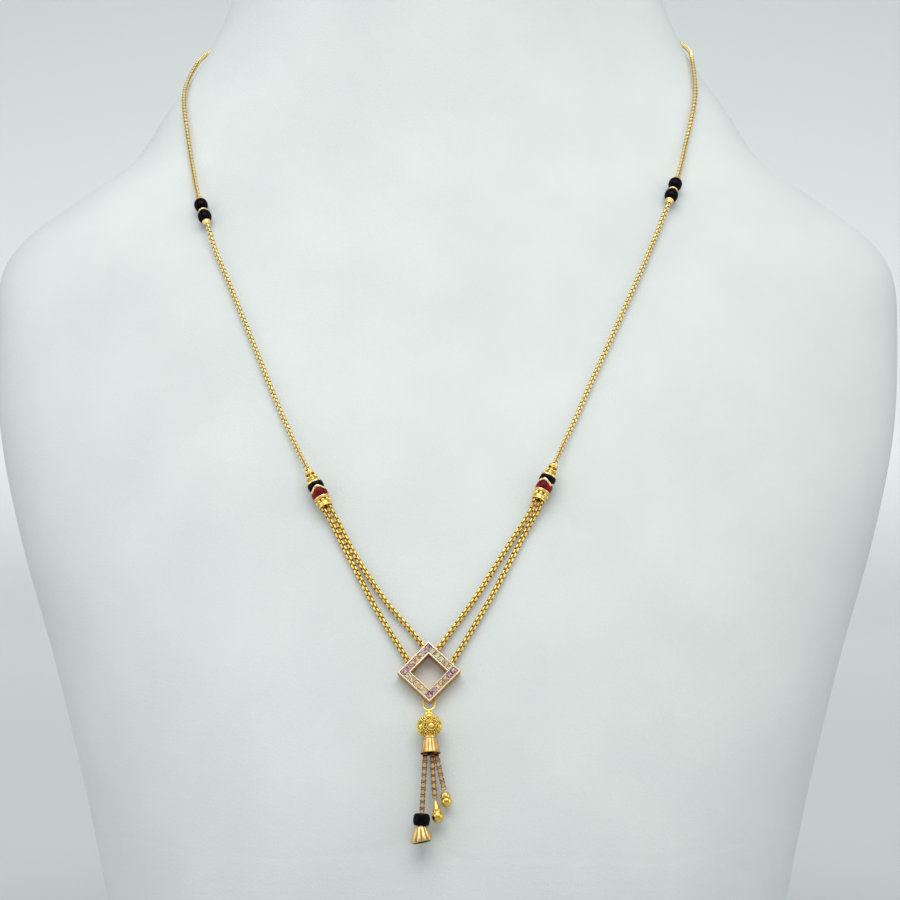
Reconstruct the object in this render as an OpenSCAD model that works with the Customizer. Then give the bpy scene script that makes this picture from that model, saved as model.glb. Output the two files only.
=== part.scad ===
// Mangalsutra laid on a plain neck bust, as an assembly of separately named pieces.
// Millimetres, Z up, the viewer stands on the -Y side, origin in the middle of the base's underside.

/* [Bust] */
// Width of the bust at the shoulders
bust_w = 222; // [180:1:260]
// Height of the bust from base to neck top
bust_h = 292; // [240:1:340]
// Depth of the bust from chest to nape
bust_d = 149; // [120:1:180]

/* [Chain] */
// Width of the box chain
chain_w = 1.2; // [0.8:0.1:1.6]
// Gap between the chain and the bust
chain_gap = 0.4; // [0.3:0.05:0.8]
// Length of the plain clasp at the nape
clasp_len = 11; // [8:0.5:16]
// Thickness of the plain clasp
clasp_w = 3.2; // [2.6:0.1:4.5]

/* [Beads on the chain] */
// Width of a black bead
bead_w = 3.3; // [2.6:0.05:4.5]
// Height of a black bead
bead_h = 2.7; // [2:0.1:3.5]
// Width of the small gold spacer rings
spacer_w = 2.2; // [2:0.1:3]

/* [Barrels] */
// Width of an enamelled barrel bead
barrel_w = 3.8; // [3:0.1:5]
// Points of the zigzag between the two enamels, all round
zig_points = 3; // [2:1:5]
// Height of the zigzag above and below its middle
zig_rise = 0.42; // [0.2:0.02:0.5]
// Beads round each cap of a barrel
cap_lobes = 8; // [6:1:10]

/* [Diamond frame] */
// Outer side of the diamond frame
frame_side = 9.8; // [8:0.1:13]
// Width of the frame's band
band_w = 2.05; // [1.8:0.05:2.6]
// Thickness of the frame
frame_t = 2.5; // [2:0.1:3.5]
// Width of a square cut stone
stone_w = 1.16; // [0.9:0.02:1.2]

/* [Ball drop] */
// Width of the filigree ball
ball_w = 5.7; // [4.5:0.1:7]
// Height of the filigree ball
ball_h = 4.2; // [3.5:0.1:6]
// Width of the fluted cone at its mouth
cone_w = 4.5; // [4.4:0.1:6]
// Height of the fluted cone
cone_h = 3.2; // [2.6:0.1:4.5]
// Number of flutes on the cone
cone_flutes = 12; // [8:1:16]

/* [Tassel] */
// Width of a box link
link_w = 1.12; // [1:0.02:1.6]
// Thickness of a link's wall
link_t = 0.14; // [0.12:0.01:0.25]
// Width of a link's strip
link_strip = 0.6; // [0.5:0.05:0.75]
// Distance from one link to the next
link_pitch = 0.735; // [0.7:0.005:0.8]
// Width of the black bead on the tassel
tassel_bead_w = 3.7; // [3:0.1:4.5]
// Height of the black bead on the tassel
tassel_bead_h = 2.6; // [2:0.05:3.5]
// Width of the fluted bell end at its mouth
bell_w = 4.7; // [4:0.1:6]
// Height of the fluted bell end
bell_h = 3.3; // [2.8:0.1:4.5]
// Lean of the bell end from the line of its chain
bell_lean = 8; // [0:1:9]
// Width of the pear drops
drop_w = 2.6; // [2:0.1:3.5]

/* [Hidden] */
gold = [0.83, 0.62, 0.25];
pale_gold = [0.9, 0.76, 0.45];

// the bust's outline, as height, half width, front and back for the sizes 222 by 292 by 149
BUST = [[0, 71, -51.5, 57], [15, 76, -56, 60], [35, 79.5, -58, 60.5], [60, 84.8, -55.2, 61],
    [90, 92.9, -45.9, 63], [120, 102.5, -32.6, 65], [145, 108.7, -20.3, 70.5],
    [170, 111, -7.7, 76], [184, 110.6, -0.6, 80], [193, 105.2, 3.8, 82.3], [203, 92.4, 8.3, 85],
    [213, 79, 12.5, 87.4], [225, 71.3, 16.7, 89], [240, 61.2, 20.7, 91], [258, 53.8, 23.8, 91],
    [275, 52.5, 25, 90], [292, 53.8, 25, 89]];
kx = bust_w / 222;
ky = bust_d / 149;
kz = bust_h / 292;
last_row = len(BUST) - 1;
round_n = 2.25;

// smooth curves through the table's rows
function row_at(z, i = 0) = (i >= last_row - 1 || z <= BUST[i + 1][0]) ? i : row_at(z, i + 1);
function rise(i, c) = let (a = max(0, i - 1), b = min(last_row, i + 1))
    (BUST[b][c] - BUST[a][c]) / (BUST[b][0] - BUST[a][0]);
function at(z, c) = let (i = row_at(z), h = BUST[i + 1][0] - BUST[i][0], t = (z - BUST[i][0]) / h)
    (2 * t * t * t - 3 * t * t + 1) * BUST[i][c] + (t * t * t - 2 * t * t + t) * h * rise(i, c)
    + (3 * t * t - 2 * t * t * t) * BUST[i + 1][c] + (t * t * t - t * t) * h * rise(i + 1, c);
function unit(v) = v / norm(v);
function skew(c, n) = sign(c) * pow(abs(c), 2 / n);

// a point of the bust's skin by angle and height, and one on its front by x and height
function skin(a, z, inset = 0) = let (f = at(z, 2), b = at(z, 3))
    [kx * (at(z, 1) - inset) * skew(cos(a), round_n),
     ky * ((f + b) / 2 + ((b - f) / 2 - inset) * skew(sin(a), round_n)), kz * z];
function front_y(x, z) = let (f = at(z, 2), b = at(z, 3))
    (f + b) / 2 - (b - f) / 2 * pow(max(0, 1 - pow(abs(x / at(z, 1)), round_n)), 1 / round_n);
function front_point(x, z) = [kx * x, ky * front_y(x, z), kz * z];
function front_out(x, z) = unit(cross(front_point(x + 0.5, z) - front_point(x - 0.5, z),
    front_point(x, z + 0.5) - front_point(x, z - 0.5)));
function skin_out(a, z) = unit(cross(skin(a + 1, z) - skin(a - 1, z),
    skin(a, z + 0.5) - skin(a, z - 0.5)));
function on_front(p) = front_point(p[0], p[1]) + p[2] * front_out(p[0], p[1]);
function on_skin(p) = skin(p[0], p[1]) + p[2] * skin_out(p[0], p[1]);

// rings of points joined into one closed solid
function ring_faces(m, n, wrap) = [for (i = [0 : m - (wrap ? 1 : 2)], j = [0 : n - 1], k = [0, 1])
    let (a = i * n + j, b = i * n + (j + 1) % n, c = ((i + 1) % m) * n + j,
        d = ((i + 1) % m) * n + (j + 1) % n) k == 0 ? [a, c, d] : [a, d, b]];
module loft(rings, wrap = false) {
    m = len(rings);
    n = len(rings[0]);
    caps = wrap ? [] : [[for (j = [0 : n - 1]) j], [for (j = [0 : n - 1]) m * n - 1 - j]];
    polyhedron([for (r = rings) for (p = r) p], concat(ring_faces(m, n, wrap), caps));
}

// a round wire of eight sides through points, each with the direction that faces out
function tangent(p, i, wrap) = let (m = len(p))
    unit(p[wrap ? (i + 1) % m : min(i + 1, m - 1)] - p[wrap ? (i + m - 1) % m : max(i - 1, 0)]);
module wire(p, out, r, wrap = false) {
    loft([for (i = [0 : len(p) - 1]) let (t = tangent(p, i, wrap),
        u = unit(out[i] - (out[i] * t) * t), v = cross(t, u))
        [for (j = [0 : 7]) p[i] + r * (cos(45 * j) * u + sin(45 * j) * v)]], wrap);
}

// placing: u, v and w are the directions that a piece's own x, y and z take
function euler(u, v, w) = [atan2(v[2], w[2]), -asin(u[2]), atan2(u[1], u[0])];
module pose(o, u, v, w) translate(o) rotate(euler(u, v, w)) children();
module along(a, b, out) {
    w = unit(b - a);
    u = unit(cross(w, out));
    pose(a, u, cross(w, u), w) children();
}
module rod(a, b, r) along(a, b, unit(cross(b - a, [0.31, 0.52, 0.8])))
    cylinder(h = norm(b - a), r = r, $fn = 32);

// barrels: own axis from the flange at the bottom to the cap's top
BARREL = [[[-27.1, 126.8, 2.15], [-31.1, 134.4, 3]], [[20.5, 128.3, 2.15], [24.1, 135.9, 3]]];
function barrel_a(s) = on_front(BARREL[s][0]);
function barrel_b(s) = on_front(BARREL[s][1]);
function barrel_w(s) = unit(barrel_b(s) - barrel_a(s));
function barrel_out(s) = front_out(BARREL[s][0][0], BARREL[s][0][1]);
function barrel_len(s) = norm(barrel_b(s) - barrel_a(s));
module on_barrel(s) along(barrel_a(s), barrel_b(s), barrel_out(s)) children();

// the main chain: two points in a barrel's cap, points on the front as x, height and lift,
// then round the neck by angle
lie = chain_w / 2 + chain_gap;
nape_z = 258;
LEFT = [[-32.3, 136.7, 2.5], [-33.4, 138.9, 1.9], [-34.9, 142, 1.3], [-37.3, 147.1, lie],
    [-41, 155.5, lie], [-44.7, 164.2, lie], [-48.4, 172.8, lie], [-52.3, 181.8, lie],
    [-55.1, 188.2, 1.3], [-56.6, 192.8, 2.1], [-59.4, 200.8, 2.1], [-60.6, 205.2, 1.5],
    [-61.8, 210, lie], [-63.3, 218, lie], [-64.4, 224.2, lie], [-64.8, 229, lie], [-63.8, 234, lie]];
RIGHT = [[25.1, 138, 2.5], [26, 140.1, 1.9], [27.3, 143, 1.3], [29.3, 147.1, lie],
    [33.3, 155.9, lie], [37.4, 164.5, lie], [41.5, 173.4, lie], [45.7, 182.4, lie],
    [49.6, 191.3, lie], [51.2, 195.2, 1.4], [52.6, 198.6, 2.1], [55.4, 206.2, 2.1],
    [56.7, 210.6, 1.5], [57.9, 215.2, lie], [59.5, 221.4, lie], [60.8, 228, lie], [60.8, 234.7, lie]];
neck_turns = [0.05, 0.12, 0.2, 0.3, 0.42, 0.56, 0.72, 0.87, 1];
function neck_route(a0, a1, z0) = [for (t = neck_turns)
    [a0 + t * (a1 - a0), z0 + (nape_z - z0) * sin(90 * t), t < 1 ? lie + 0.15 : clasp_w / 2 + 0.4]];
LEFT_NECK = neck_route(192, 93, 236);
RIGHT_NECK = neck_route(-20, 87, 236.5);
function route(s, f, n) = concat([for (k = [-0.9, 0.6]) barrel_b(s) + k * barrel_w(s)],
    [for (p = f) on_front(p)], [for (p = n) on_skin(p)]);
function route_out(s, f, n) = concat([for (k = [0, 1]) barrel_out(s)],
    [for (p = f) front_out(p[0], p[1])], [for (p = n) skin_out(p[0], p[1])]);
LEFT_PTS = route(0, LEFT, LEFT_NECK);
RIGHT_PTS = route(1, RIGHT, RIGHT_NECK);

// beads and rings stand on the straight stretch of the chain, counted up from the crimp, and on
// the left side a little further up
left_up = 0.75;
module on_chain(side, lift) {
    p = side < 0 ? LEFT_PTS : RIGHT_PTS;
    i = side < 0 ? 9 : 10;
    f = side < 0 ? LEFT[i] : RIGHT[i];
    up = lift + (side < 0 ? left_up : 0);
    along(p[i + 2], p[i + 3], front_out(f[0], f[1])) translate([0, 0, up]) children();
}
module turned(pts) rotate_extrude($fn = 40) polygon(pts);
module round_bead(w, h, hole, edge = 0.38) {
    turned(concat([[hole, -h / 2], [hole, h / 2]],
        [for (a = [80 : -20 : -80]) [w / 2 - edge * h * (1 - pow(cos(a), 0.65)), h / 2 * sin(a) / sin(80)]]));
}
module ring_bead(w, h, hole) {
    turned([[hole, 0], [w / 2 - 0.15, 0], [w / 2, h * 0.3], [w / 2, h * 0.7], [w / 2 - 0.15, h], [hole, h]]);
}
// a small cone whose wide end, at the height h, stands against a bead
module cone_bead(w, h, hole) {
    turned([[hole, 0], [hole + 0.12, 0], [w / 2 - 0.06, h * 0.72], [w / 2, h * 0.86],
        [w / 2 - 0.08, h], [hole, h]]);
}
thread_r = chain_w / 2 + 0.12;

// barrels, from the flange that the strands leave up to the cap that the chain enters
rb = barrel_w / 2;
zig_n = 8 * zig_points;
strand_gap = 0.68;
function zig(j) = zig_rise * (2 * abs((j % 8) - 4) / 4 - 1);
// a sleeve between two radii whose lower and upper rims may run in a zigzag
module sleeve(s, r0, r1, z0, z1, low, high) {
    loft([for (k = [0 : 3]) [for (j = [0 : zig_n - 1])
        let (a = 360 * j / zig_n - 90 - 15 * s, r = (k == 0 || k == 3) ? r0 : r1)
        [r * cos(a), r * sin(a), k < 2 ? z0 + low * zig(j) : z1 + high * zig(j)]]], true);
}
module lobes(r, z, ball) for (j = [0 : cap_lobes - 1]) rotate([0, 0, 360 * (j + 0.5) / cap_lobes - 90])
    translate([r, 0, z]) sphere(r = ball, $fn = 24);
module barrel(s) {
    l = barrel_len(s);
    hi = 0.65 * l;
    lo = 0.26 * l;
    difference() {
        union() {
            turned([[0, 0], [rb - 0.24, 0], [rb - 0.17, 0.15], [rb - 0.22, 0.32], [rb - 0.34, 0.48],
                [rb - 0.36, 1.15], [rb - 0.6, 1.3], [rb - 0.6, lo - 0.75], [rb - 0.3, lo - 0.6],
                [rb - 0.18, lo - 0.45], [rb - 0.2, lo - 0.33], [rb - 0.05, lo - 0.27], [rb - 0.05, lo],
                [rb - 0.42, lo], [rb - 0.42, hi], [rb - 0.05, hi], [rb - 0.05, hi + 0.27],
                [rb - 0.2, hi + 0.33], [rb - 0.18, hi + 0.45], [rb - 0.3, hi + 0.65], [rb - 0.7, hi + 0.85],
                [rb - 0.9, l - 1], [rb - 0.95, l - 0.6], [rb - 0.85, l - 0.45], [rb - 0.85, l - 0.12],
                [rb - 0.95, l], [0, l]]);
            sleeve(s, rb - 0.5, rb - 0.05, 0.48 * l - 0.26, 0.48 * l + 0.26, 1, 1);
            lobes(rb - 0.57, 0.56 * lo, 0.46);
            lobes(rb - 0.88, 0.5 * (hi + l) - 0.1, 0.4);
        }
        translate([0, 0, l - 1.2]) cylinder(h = 2, r = thread_r, $fn = 32);
        for (k = [-1, 1]) translate([k * strand_gap, 0, -1])
            cylinder(h = 1.95, r = thread_r - 0.03, $fn = 32);
    }
}
module enamel(s, upper) {
    l = barrel_len(s);
    if (upper) sleeve(s, rb - 0.34, rb - 0.08, 0.48 * l + 0.34, 0.65 * l - 0.1, 1, 0);
    else sleeve(s, rb - 0.34, rb - 0.08, 0.26 * l + 0.1, 0.48 * l - 0.34, 0, 1);
}

// the diamond frame lies flat on the chest, its face up
FRAME_AT = [-3.9, 91, 0.35 + frame_t];
frame_turn = 1.5;
fw = front_out(FRAME_AT[0], FRAME_AT[1]);
fv0 = unit([0, 0, 1] - fw[2] * fw);
fu0 = cross(fv0, fw);
fu = cos(frame_turn) * fu0 + sin(frame_turn) * fv0;
fv = cross(fw, fu);
fo = on_front(FRAME_AT);
function in_frame(p) = fo + p[0] * fu + p[1] * fv + p[2] * fw;
inner_side = frame_side - 2 * band_w;
mid_line = (frame_side + inner_side) / 4;
stone_pitch = mid_line / 3;
channel = stone_w + 0.2;
module tile(s, z0, z1) translate([-s / 2, -s / 2, z0]) cube([s, s, z1 - z0]);

// strands leave the barrel side by side and end in the frame's upper walls
ENDS = [[-4.07, 2.01], [-0.62, 5.46], [1.48, 4.6], [4.63, 1.45]];
LANES = [[[-26.2, 124.2, 1.7], [-23.2, 118.6, 1.05], [-19.4, 111.6, 1.05], [-15.7, 104.9, 1.05],
        [-12.4, 99.6, 1.05]],
    [[-25, 124.7, 1.7], [-21.95, 119.1, 1.05], [-17.8, 112.4, 1.05], [-13, 105.8, 1.05],
        [-7.8, 100, 1.05]],
    [[19, 126.4, 1.7], [15.4, 121.1, 1.05], [11.1, 114.6, 1.05], [6.6, 107.6, 1.05], [2, 101.4, 1.05]],
    [[20.3, 126.2, 1.7], [17.2, 120.9, 1.05], [13.6, 114.2, 1.05], [9.8, 107.3, 1.05], [5.6, 100.4, 1.05]]];
function strand_start(k, depth) = let (s = k < 2 ? 0 : 1, u = unit(cross(barrel_w(s), barrel_out(s))))
    barrel_a(s) + (k % 2 == 0 ? -strand_gap : strand_gap) * u + depth * barrel_w(s);
function strand_end(k) = in_frame([ENDS[k][0], ENDS[k][1], -1.65]);
function strand_pts(k) = concat([strand_start(k, 0.65), strand_start(k, -0.5)],
    [for (p = LANES[k]) on_front(p)], [strand_end(k)]);
function strand_out(k) = concat([for (i = [0, 1]) barrel_out(k < 2 ? 0 : 1)],
    [for (p = LANES[k]) front_out(p[0], p[1])], [fw]);
module strand(k) wire(strand_pts(k), strand_out(k), chain_w / 2);

// a square cut stone with cut corners: culet, girdle, crown and table
function cut_square(w, z) = let (h = w / 2, c = w * 0.16)
    [[h, -h + c, z], [h, h - c, z], [h - c, h, z], [-h + c, h, z],
     [-h, h - c, z], [-h, -h + c, z], [-h + c, -h, z], [h - c, -h, z]];
function stone_xy(i) = let (k = floor(i / 6), q = (i % 6) * stone_pitch, m = mid_line)
    k == 0 ? [m, m - q] : k == 1 ? [m - q, -m] : k == 2 ? [-m, -m + q] : [-m + q, m];
module stone(i, c) color(c) pose(fo, fu, fv, fw) rotate([0, 0, 45])
    translate([stone_xy(i)[0], stone_xy(i)[1], 0])
    loft([cut_square(0.14, -0.62), cut_square(stone_w, -0.24), cut_square(stone_w, -0.12),
        cut_square(stone_w * 0.62, 0.08)]);
plum = [0.5, 0.28, 0.5];
mauve = [0.62, 0.42, 0.45];
champagne = [0.85, 0.68, 0.6];
clear = [0.86, 0.87, 0.8];

// the ball drop: measured up from the middle of the cone's mouth
DROP_FOOT = on_front([-3.5, 73.7, 3.05]);
DROP_HEAD = on_front([-3.9, 82.8, 3.05]);
drop_out = front_out(-3.7, 78);
dw = unit(DROP_HEAD - DROP_FOOT);
du = unit(cross(dw, drop_out));
dv = cross(dw, du);
function in_drop(p) = DROP_FOOT + p[0] * du + p[1] * dv + p[2] * dw;
module on_drop() pose(DROP_FOOT, du, dv, dw) children();
ball_z = cone_h + 0.75 + ball_h / 2;
ball_r = ball_w / 2 - 0.25;
bead_z = ball_z + ball_h / 2 + 0.75;
HOLE = [0, -5.85, -1.5];
hook_a = in_frame(HOLE);
hook_b = in_drop([0, 0, bead_z + 0.75]);
// the wire loop: straight through the frame's corner, bulging, then closing on the small bead
LOOP = [[-0.7, 0], [0, 0], [0.7, 0], [1.15, 0.09], [1.29, 0.27], [1.28, 0.48], [1.1, 0.71],
    [0.68, 0.9], [0, 1.02], [-0.68, 0.9], [-1.1, 0.71], [-1.28, 0.48], [-1.29, 0.27], [-1.15, 0.09]];
loop_x = unit(du + fu);
loop_out = unit(cross(loop_x, hook_b - hook_a));

// tassel: three chains from bars inside the cone down to their ends
bar_z = 0.62;
TOPS = [[-1.1, -0.3], [0.25, 0.85], [1.1, -0.3]];
TIPS = [[-5.5, 58.1, 2.9], [-2.6, 64.8, 2.1], [-0.75, 66.9, 2.1]];
function chain_top(k) = in_drop([TOPS[k][0], TOPS[k][1], bar_z - 0.2]);
function chain_tip(k) = on_front(TIPS[k]);
function chain_n(k) = round(norm(chain_tip(k) - chain_top(k)) / link_pitch);
module on_tassel(k) along(chain_top(k), chain_tip(k), drop_out) children();
function chain_run(k) = chain_n(k) * link_pitch;
module link(strip) difference() {
    cube([link_w, strip, link_w], center = true);
    cube([link_w - 2 * link_t, strip + 1, link_w - 2 * link_t], center = true);
}
module box_chain(k) on_tassel(k) for (i = [0 : chain_n(k)])
    translate([0, 0, i * link_pitch]) rotate([0, 0, i % 2 == 0 ? 90 : 0])
        link(i == chain_n(k) ? 0.4 : link_strip);

// a ribbed shell: profile of radius, height and depth of its flutes
module fluted(profile, n) loft([for (q = profile) [for (j = [0 : 4 * n - 1])
    let (a = 90 * j / n, r = q[0] - q[2] * (1 - cos(90 * j)) / 2) [r * cos(a), r * sin(a), q[1]]]], true);

// a pear drop hanging down along its own +z from an eye threaded on the last link: its cap as
// radius and height, then a ball of the radius r whose middle is at the height z
PEAR_LONG = [[0.28, 0.94], [0.29, 1.3], [0.4, 1.55], [0.6, 2.3], [0.84, 2.95], [0.95, 3.05],
    [0.95, 3.28], [0.86, 3.4]];
PEAR_WIDE = [[0.45, 0.94], [0.72, 1.03], [0.92, 1.3], [1.02, 1.62], [1.08, 1.78], [1.08, 2.02],
    [0.96, 2.14]];
module pear_drop(k, cap, r, z, lean) on_tassel(k)
    translate([0, 0, chain_run(k) + 0.5]) rotate([0, -lean, 0]) {
        rotate([0, 0, chain_n(k) % 2 == 0 ? 90 : 0]) rotate([0, 90, 0])
            rotate_extrude($fn = 32) translate([0.44, 0]) circle(r = 0.1, $fn = 16);
        translate([0, 0, -0.5]) turned(concat([[0, 0.94]], cap,
            [for (a = [-44 : 12 : 89]) [r * cos(a), z + r * sin(a)]], [[0, z + r]]));
    }

module bust() color([0.9, 0.9, 0.88])
    loft([for (s = concat([[0, 3], [0.8, 1.2], [2.6, 0]], [for (z = [10 : 9 : 172]) [z, 0]],
        [for (z = [177 : 5 : 222]) [z, 0]], [for (z = [229 : 9 : 283]) [z, 0]],
        [[289.5, 0], [291.3, 1], [292, 3]]))
        [for (j = [0 : 47]) skin(7.5 * j, s[0], s[1])]]);
module chain_left() color(gold) wire(LEFT_PTS, route_out(0, LEFT, LEFT_NECK), chain_w / 2);
module chain_right() color(gold) wire(RIGHT_PTS, route_out(1, RIGHT, RIGHT_NECK), chain_w / 2);
module clasp() color(gold) {
    y = ky * at(nape_z, 3) + clasp_w / 2 + 0.4;
    translate([0, y, kz * nape_z]) rotate([0, 90, 0]) difference() {
        union() {
            cylinder(h = clasp_len - clasp_w, r = clasp_w / 2, center = true, $fn = 40);
            for (k = [-1, 1]) translate([0, 0, k * (clasp_len - clasp_w) / 2])
                sphere(r = clasp_w / 2, $fn = 40);
        }
        for (k = [-1, 1]) translate([0, 0, k * (clasp_len / 2 - 1.4)])
            cylinder(h = 5, r = thread_r + 0.25, center = true, $fn = 32);
    }
}
module ring_upper_left() color(gold) on_chain(-1, 8.4)
    rotate([180, 0, 0]) cone_bead(spacer_w - 0.1, 0.8, thread_r);
module bead_upper_left() color("black") on_chain(-1, 6.15) round_bead(bead_w, bead_h, thread_r);
module spacer_left() color(gold) on_chain(-1, 4.02) ring_bead(spacer_w, 0.56, thread_r);
module bead_lower_left() color("black") on_chain(-1, 2.45) round_bead(bead_w, bead_h, thread_r);
module crimp_left() color(gold) on_chain(-1, -0.25) cone_bead(spacer_w - 0.1, 1.25, thread_r);
module ring_upper_right() color(gold) on_chain(1, 8.4)
    rotate([180, 0, 0]) cone_bead(spacer_w - 0.1, 0.8, thread_r);
module bead_upper_right() color("black") on_chain(1, 6.15) round_bead(bead_w, bead_h, thread_r);
module spacer_right() color(gold) on_chain(1, 4.02) ring_bead(spacer_w, 0.56, thread_r);
module bead_lower_right() color("black") on_chain(1, 2.45) round_bead(bead_w, bead_h, thread_r);
module crimp_right() color(gold) on_chain(1, -0.25) cone_bead(spacer_w - 0.1, 1.25, thread_r);
module barrel_left() color(gold) on_barrel(0) barrel(0);
module black_enamel_left() color([0.08, 0.08, 0.08]) on_barrel(0) enamel(0, true);
module red_enamel_left() color([0.7, 0.1, 0.1]) on_barrel(0) enamel(0, false);
module barrel_right() color(gold) on_barrel(1) barrel(1);
module black_enamel_right() color([0.08, 0.08, 0.08]) on_barrel(1) enamel(1, true);
module red_enamel_right() color([0.7, 0.1, 0.1]) on_barrel(1) enamel(1, false);
module strand_left_outer() color(gold) strand(0);
module strand_left_inner() color(gold) strand(1);
module strand_right_inner() color(gold) strand(2);
module strand_right_outer() color(gold) strand(3);
module diamond_frame() color(pale_gold) difference() {
    pose(fo, fu, fv, fw) difference() {
        rotate([0, 0, 45]) difference() {
            tile(frame_side, -frame_t, 0);
            tile(inner_side, -frame_t - 1, 1);
            difference() {
                tile(2 * mid_line + channel, -0.8, 1);
                tile(2 * mid_line - channel, -2, 2);
            }
        }
        translate([0, HOLE[1], HOLE[2]]) rotate([0, 90, 0])
            cylinder(h = 6, r = 0.38, center = true, $fn = 32);
    }
    for (k = [0 : 3]) let (e = strand_end(k), p = on_front(LANES[k][4]))
        rod(e - 0.2 * unit(p - e), e + 3 * unit(p - e), chain_w / 2 + 0.15);
}
module stone_01() stone(0, plum);
module stone_02() stone(1, clear);
module stone_03() stone(2, clear);
module stone_04() stone(3, clear);
module stone_05() stone(4, clear);
module stone_06() stone(5, clear);
module stone_07() stone(6, plum);
module stone_08() stone(7, plum);
module stone_09() stone(8, mauve);
module stone_10() stone(9, champagne);
module stone_11() stone(10, champagne);
module stone_12() stone(11, plum);
module stone_13() stone(12, plum);
module stone_14() stone(13, clear);
module stone_15() stone(14, champagne);
module stone_16() stone(15, champagne);
module stone_17() stone(16, clear);
module stone_18() stone(17, clear);
module stone_19() stone(18, plum);
module stone_20() stone(19, plum);
module stone_21() stone(20, mauve);
module stone_22() stone(21, champagne);
module stone_23() stone(22, mauve);
module stone_24() stone(23, plum);
module filigree_drop() color(gold) {
    wire([for (q = LOOP) hook_a + q[1] * (hook_b - hook_a) + q[0] * loop_x],
        [for (q = LOOP) loop_out], 0.23, true);
    on_drop() {
        // small bead, collars and the oblate ball in one turning
        turned(concat([[0, cone_h - 1.1], [0.3, cone_h - 1.1], [0.3, cone_h + 0.15], [0.95, cone_h + 0.15],
            [1.0, cone_h + 0.35], [0.95, cone_h + 0.7]],
            [for (k = [-5 : 5]) [ball_r * pow(cos(14.6 * k), 0.62), ball_z + ball_h / 2 * sin(14.6 * k)]],
            [[1.0, bead_z - 0.78], [1.0, bead_z - 0.6], [0.72, bead_z - 0.5], [0.96, bead_z - 0.2],
             [0.96, bead_z + 0.15], [0.6, bead_z + 0.5], [0, bead_z + 0.55]]));
        // six domes round the middle, each inside a raised ring
        for (k = [0 : 5]) translate([0, 0, ball_z - 0.3]) rotate([0, 0, 60 * k - 80]) rotate([0, 90, 0]) {
            translate([0, 0, ball_r - 0.5]) sphere(r = 0.75, $fn = 24);
            translate([0, 0, ball_r - 0.22]) rotate_extrude($fn = 32)
                translate([1.02, 0]) circle(r = 0.17, $fn = 14);
        }
    }
    // bars inside the cone that the three chains hang on
    rod(in_drop([0, 0, cone_h - 0.9]), in_drop([0, -0.3, bar_z]), 0.14);
    rod(in_drop([-1.5, -0.3, bar_z]), in_drop([1.5, -0.3, bar_z]), 0.12);
    rod(in_drop([0, 0, cone_h - 0.9]), in_drop([-0.45, 0.85, bar_z + 0.1]), 0.12);
    rod(in_drop([-0.57, 0.85, bar_z]), in_drop([0.75, 0.85, bar_z]), 0.12);
}
module fluted_cone() color(pale_gold) on_drop()
    fluted([[cone_w / 2 - 0.23, 0, 0], [cone_w / 2, 0, 0.03], [cone_w / 2 - 0.02, 0.16, 0.03],
        [cone_w / 2 - 0.09, 0.22, 0.09], [cone_w / 2 - 0.66, cone_h - 0.2, 0.1],
        [cone_w / 2 - 0.76, cone_h, 0.02],
        [0.5, cone_h, 0], [0.5, cone_h - 0.4, 0], [cone_w / 2 - 1.15, cone_h - 0.4, 0]], cone_flutes);
module tassel_chain_left() color(gold) box_chain(0);
module tassel_chain_middle() color(gold) box_chain(1);
module tassel_chain_right() color(gold) box_chain(2);
module tassel_bead() color("black") on_tassel(0) translate([0, 0, chain_run(0) - 2.06])
    round_bead(tassel_bead_w, tassel_bead_h, 0.87, 0.27);
// the bell leans about the pin that holds it to the last link
module bell_end() color(pale_gold) on_tassel(0) translate([0, 0, chain_run(0) + 0.2])
    rotate([0, -bell_lean, 0]) translate([0, 0, -0.7]) {
    fluted([[0.87, 0, 0], [1.3, 0, 0], [1.4, 0.12, 0.05], [bell_w / 2 - 0.55, bell_h * 0.35, 0.24],
        [bell_w / 2 - 0.08, bell_h * 0.75, 0.3], [bell_w / 2, bell_h - 0.2, 0.3],
        [bell_w / 2 - 0.25, bell_h, 0.22],
        [bell_w / 2 - 0.5, bell_h, 0], [bell_w / 2 - 0.55, bell_h * 0.75, 0], [0.87, 1.5, 0]], 10);
    translate([0, 0, 0.7]) rotate([0, 0, chain_n(0) % 2 == 0 ? 0 : 90]) rotate([0, 90, 0])
        cylinder(h = 2.1, r = 0.12, center = true, $fn = 24);
}
module pear_drop_middle() color(gold) pear_drop(1, PEAR_LONG, drop_w / 2, 4.66, 5);
module pear_drop_right() color(gold) pear_drop(2, PEAR_WIDE, drop_w / 2 - 0.08, 3.12, 0);

bust();
chain_left();
chain_right();
clasp();
ring_upper_left();
bead_upper_left();
spacer_left();
bead_lower_left();
crimp_left();
ring_upper_right();
bead_upper_right();
spacer_right();
bead_lower_right();
crimp_right();
barrel_left();
black_enamel_left();
red_enamel_left();
barrel_right();
black_enamel_right();
red_enamel_right();
strand_left_outer();
strand_left_inner();
strand_right_inner();
strand_right_outer();
diamond_frame();
stone_01();
stone_02();
stone_03();
stone_04();
stone_05();
stone_06();
stone_07();
stone_08();
stone_09();
stone_10();
stone_11();
stone_12();
stone_13();
stone_14();
stone_15();
stone_16();
stone_17();
stone_18();
stone_19();
stone_20();
stone_21();
stone_22();
stone_23();
stone_24();
filigree_drop();
fluted_cone();
tassel_chain_left();
tassel_chain_middle();
tassel_chain_right();
tassel_bead();
bell_end();
pear_drop_middle();
pear_drop_right();
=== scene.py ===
import bmesh
import bpy
import math
import numpy as np
from mathutils import Matrix, Vector


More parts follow.
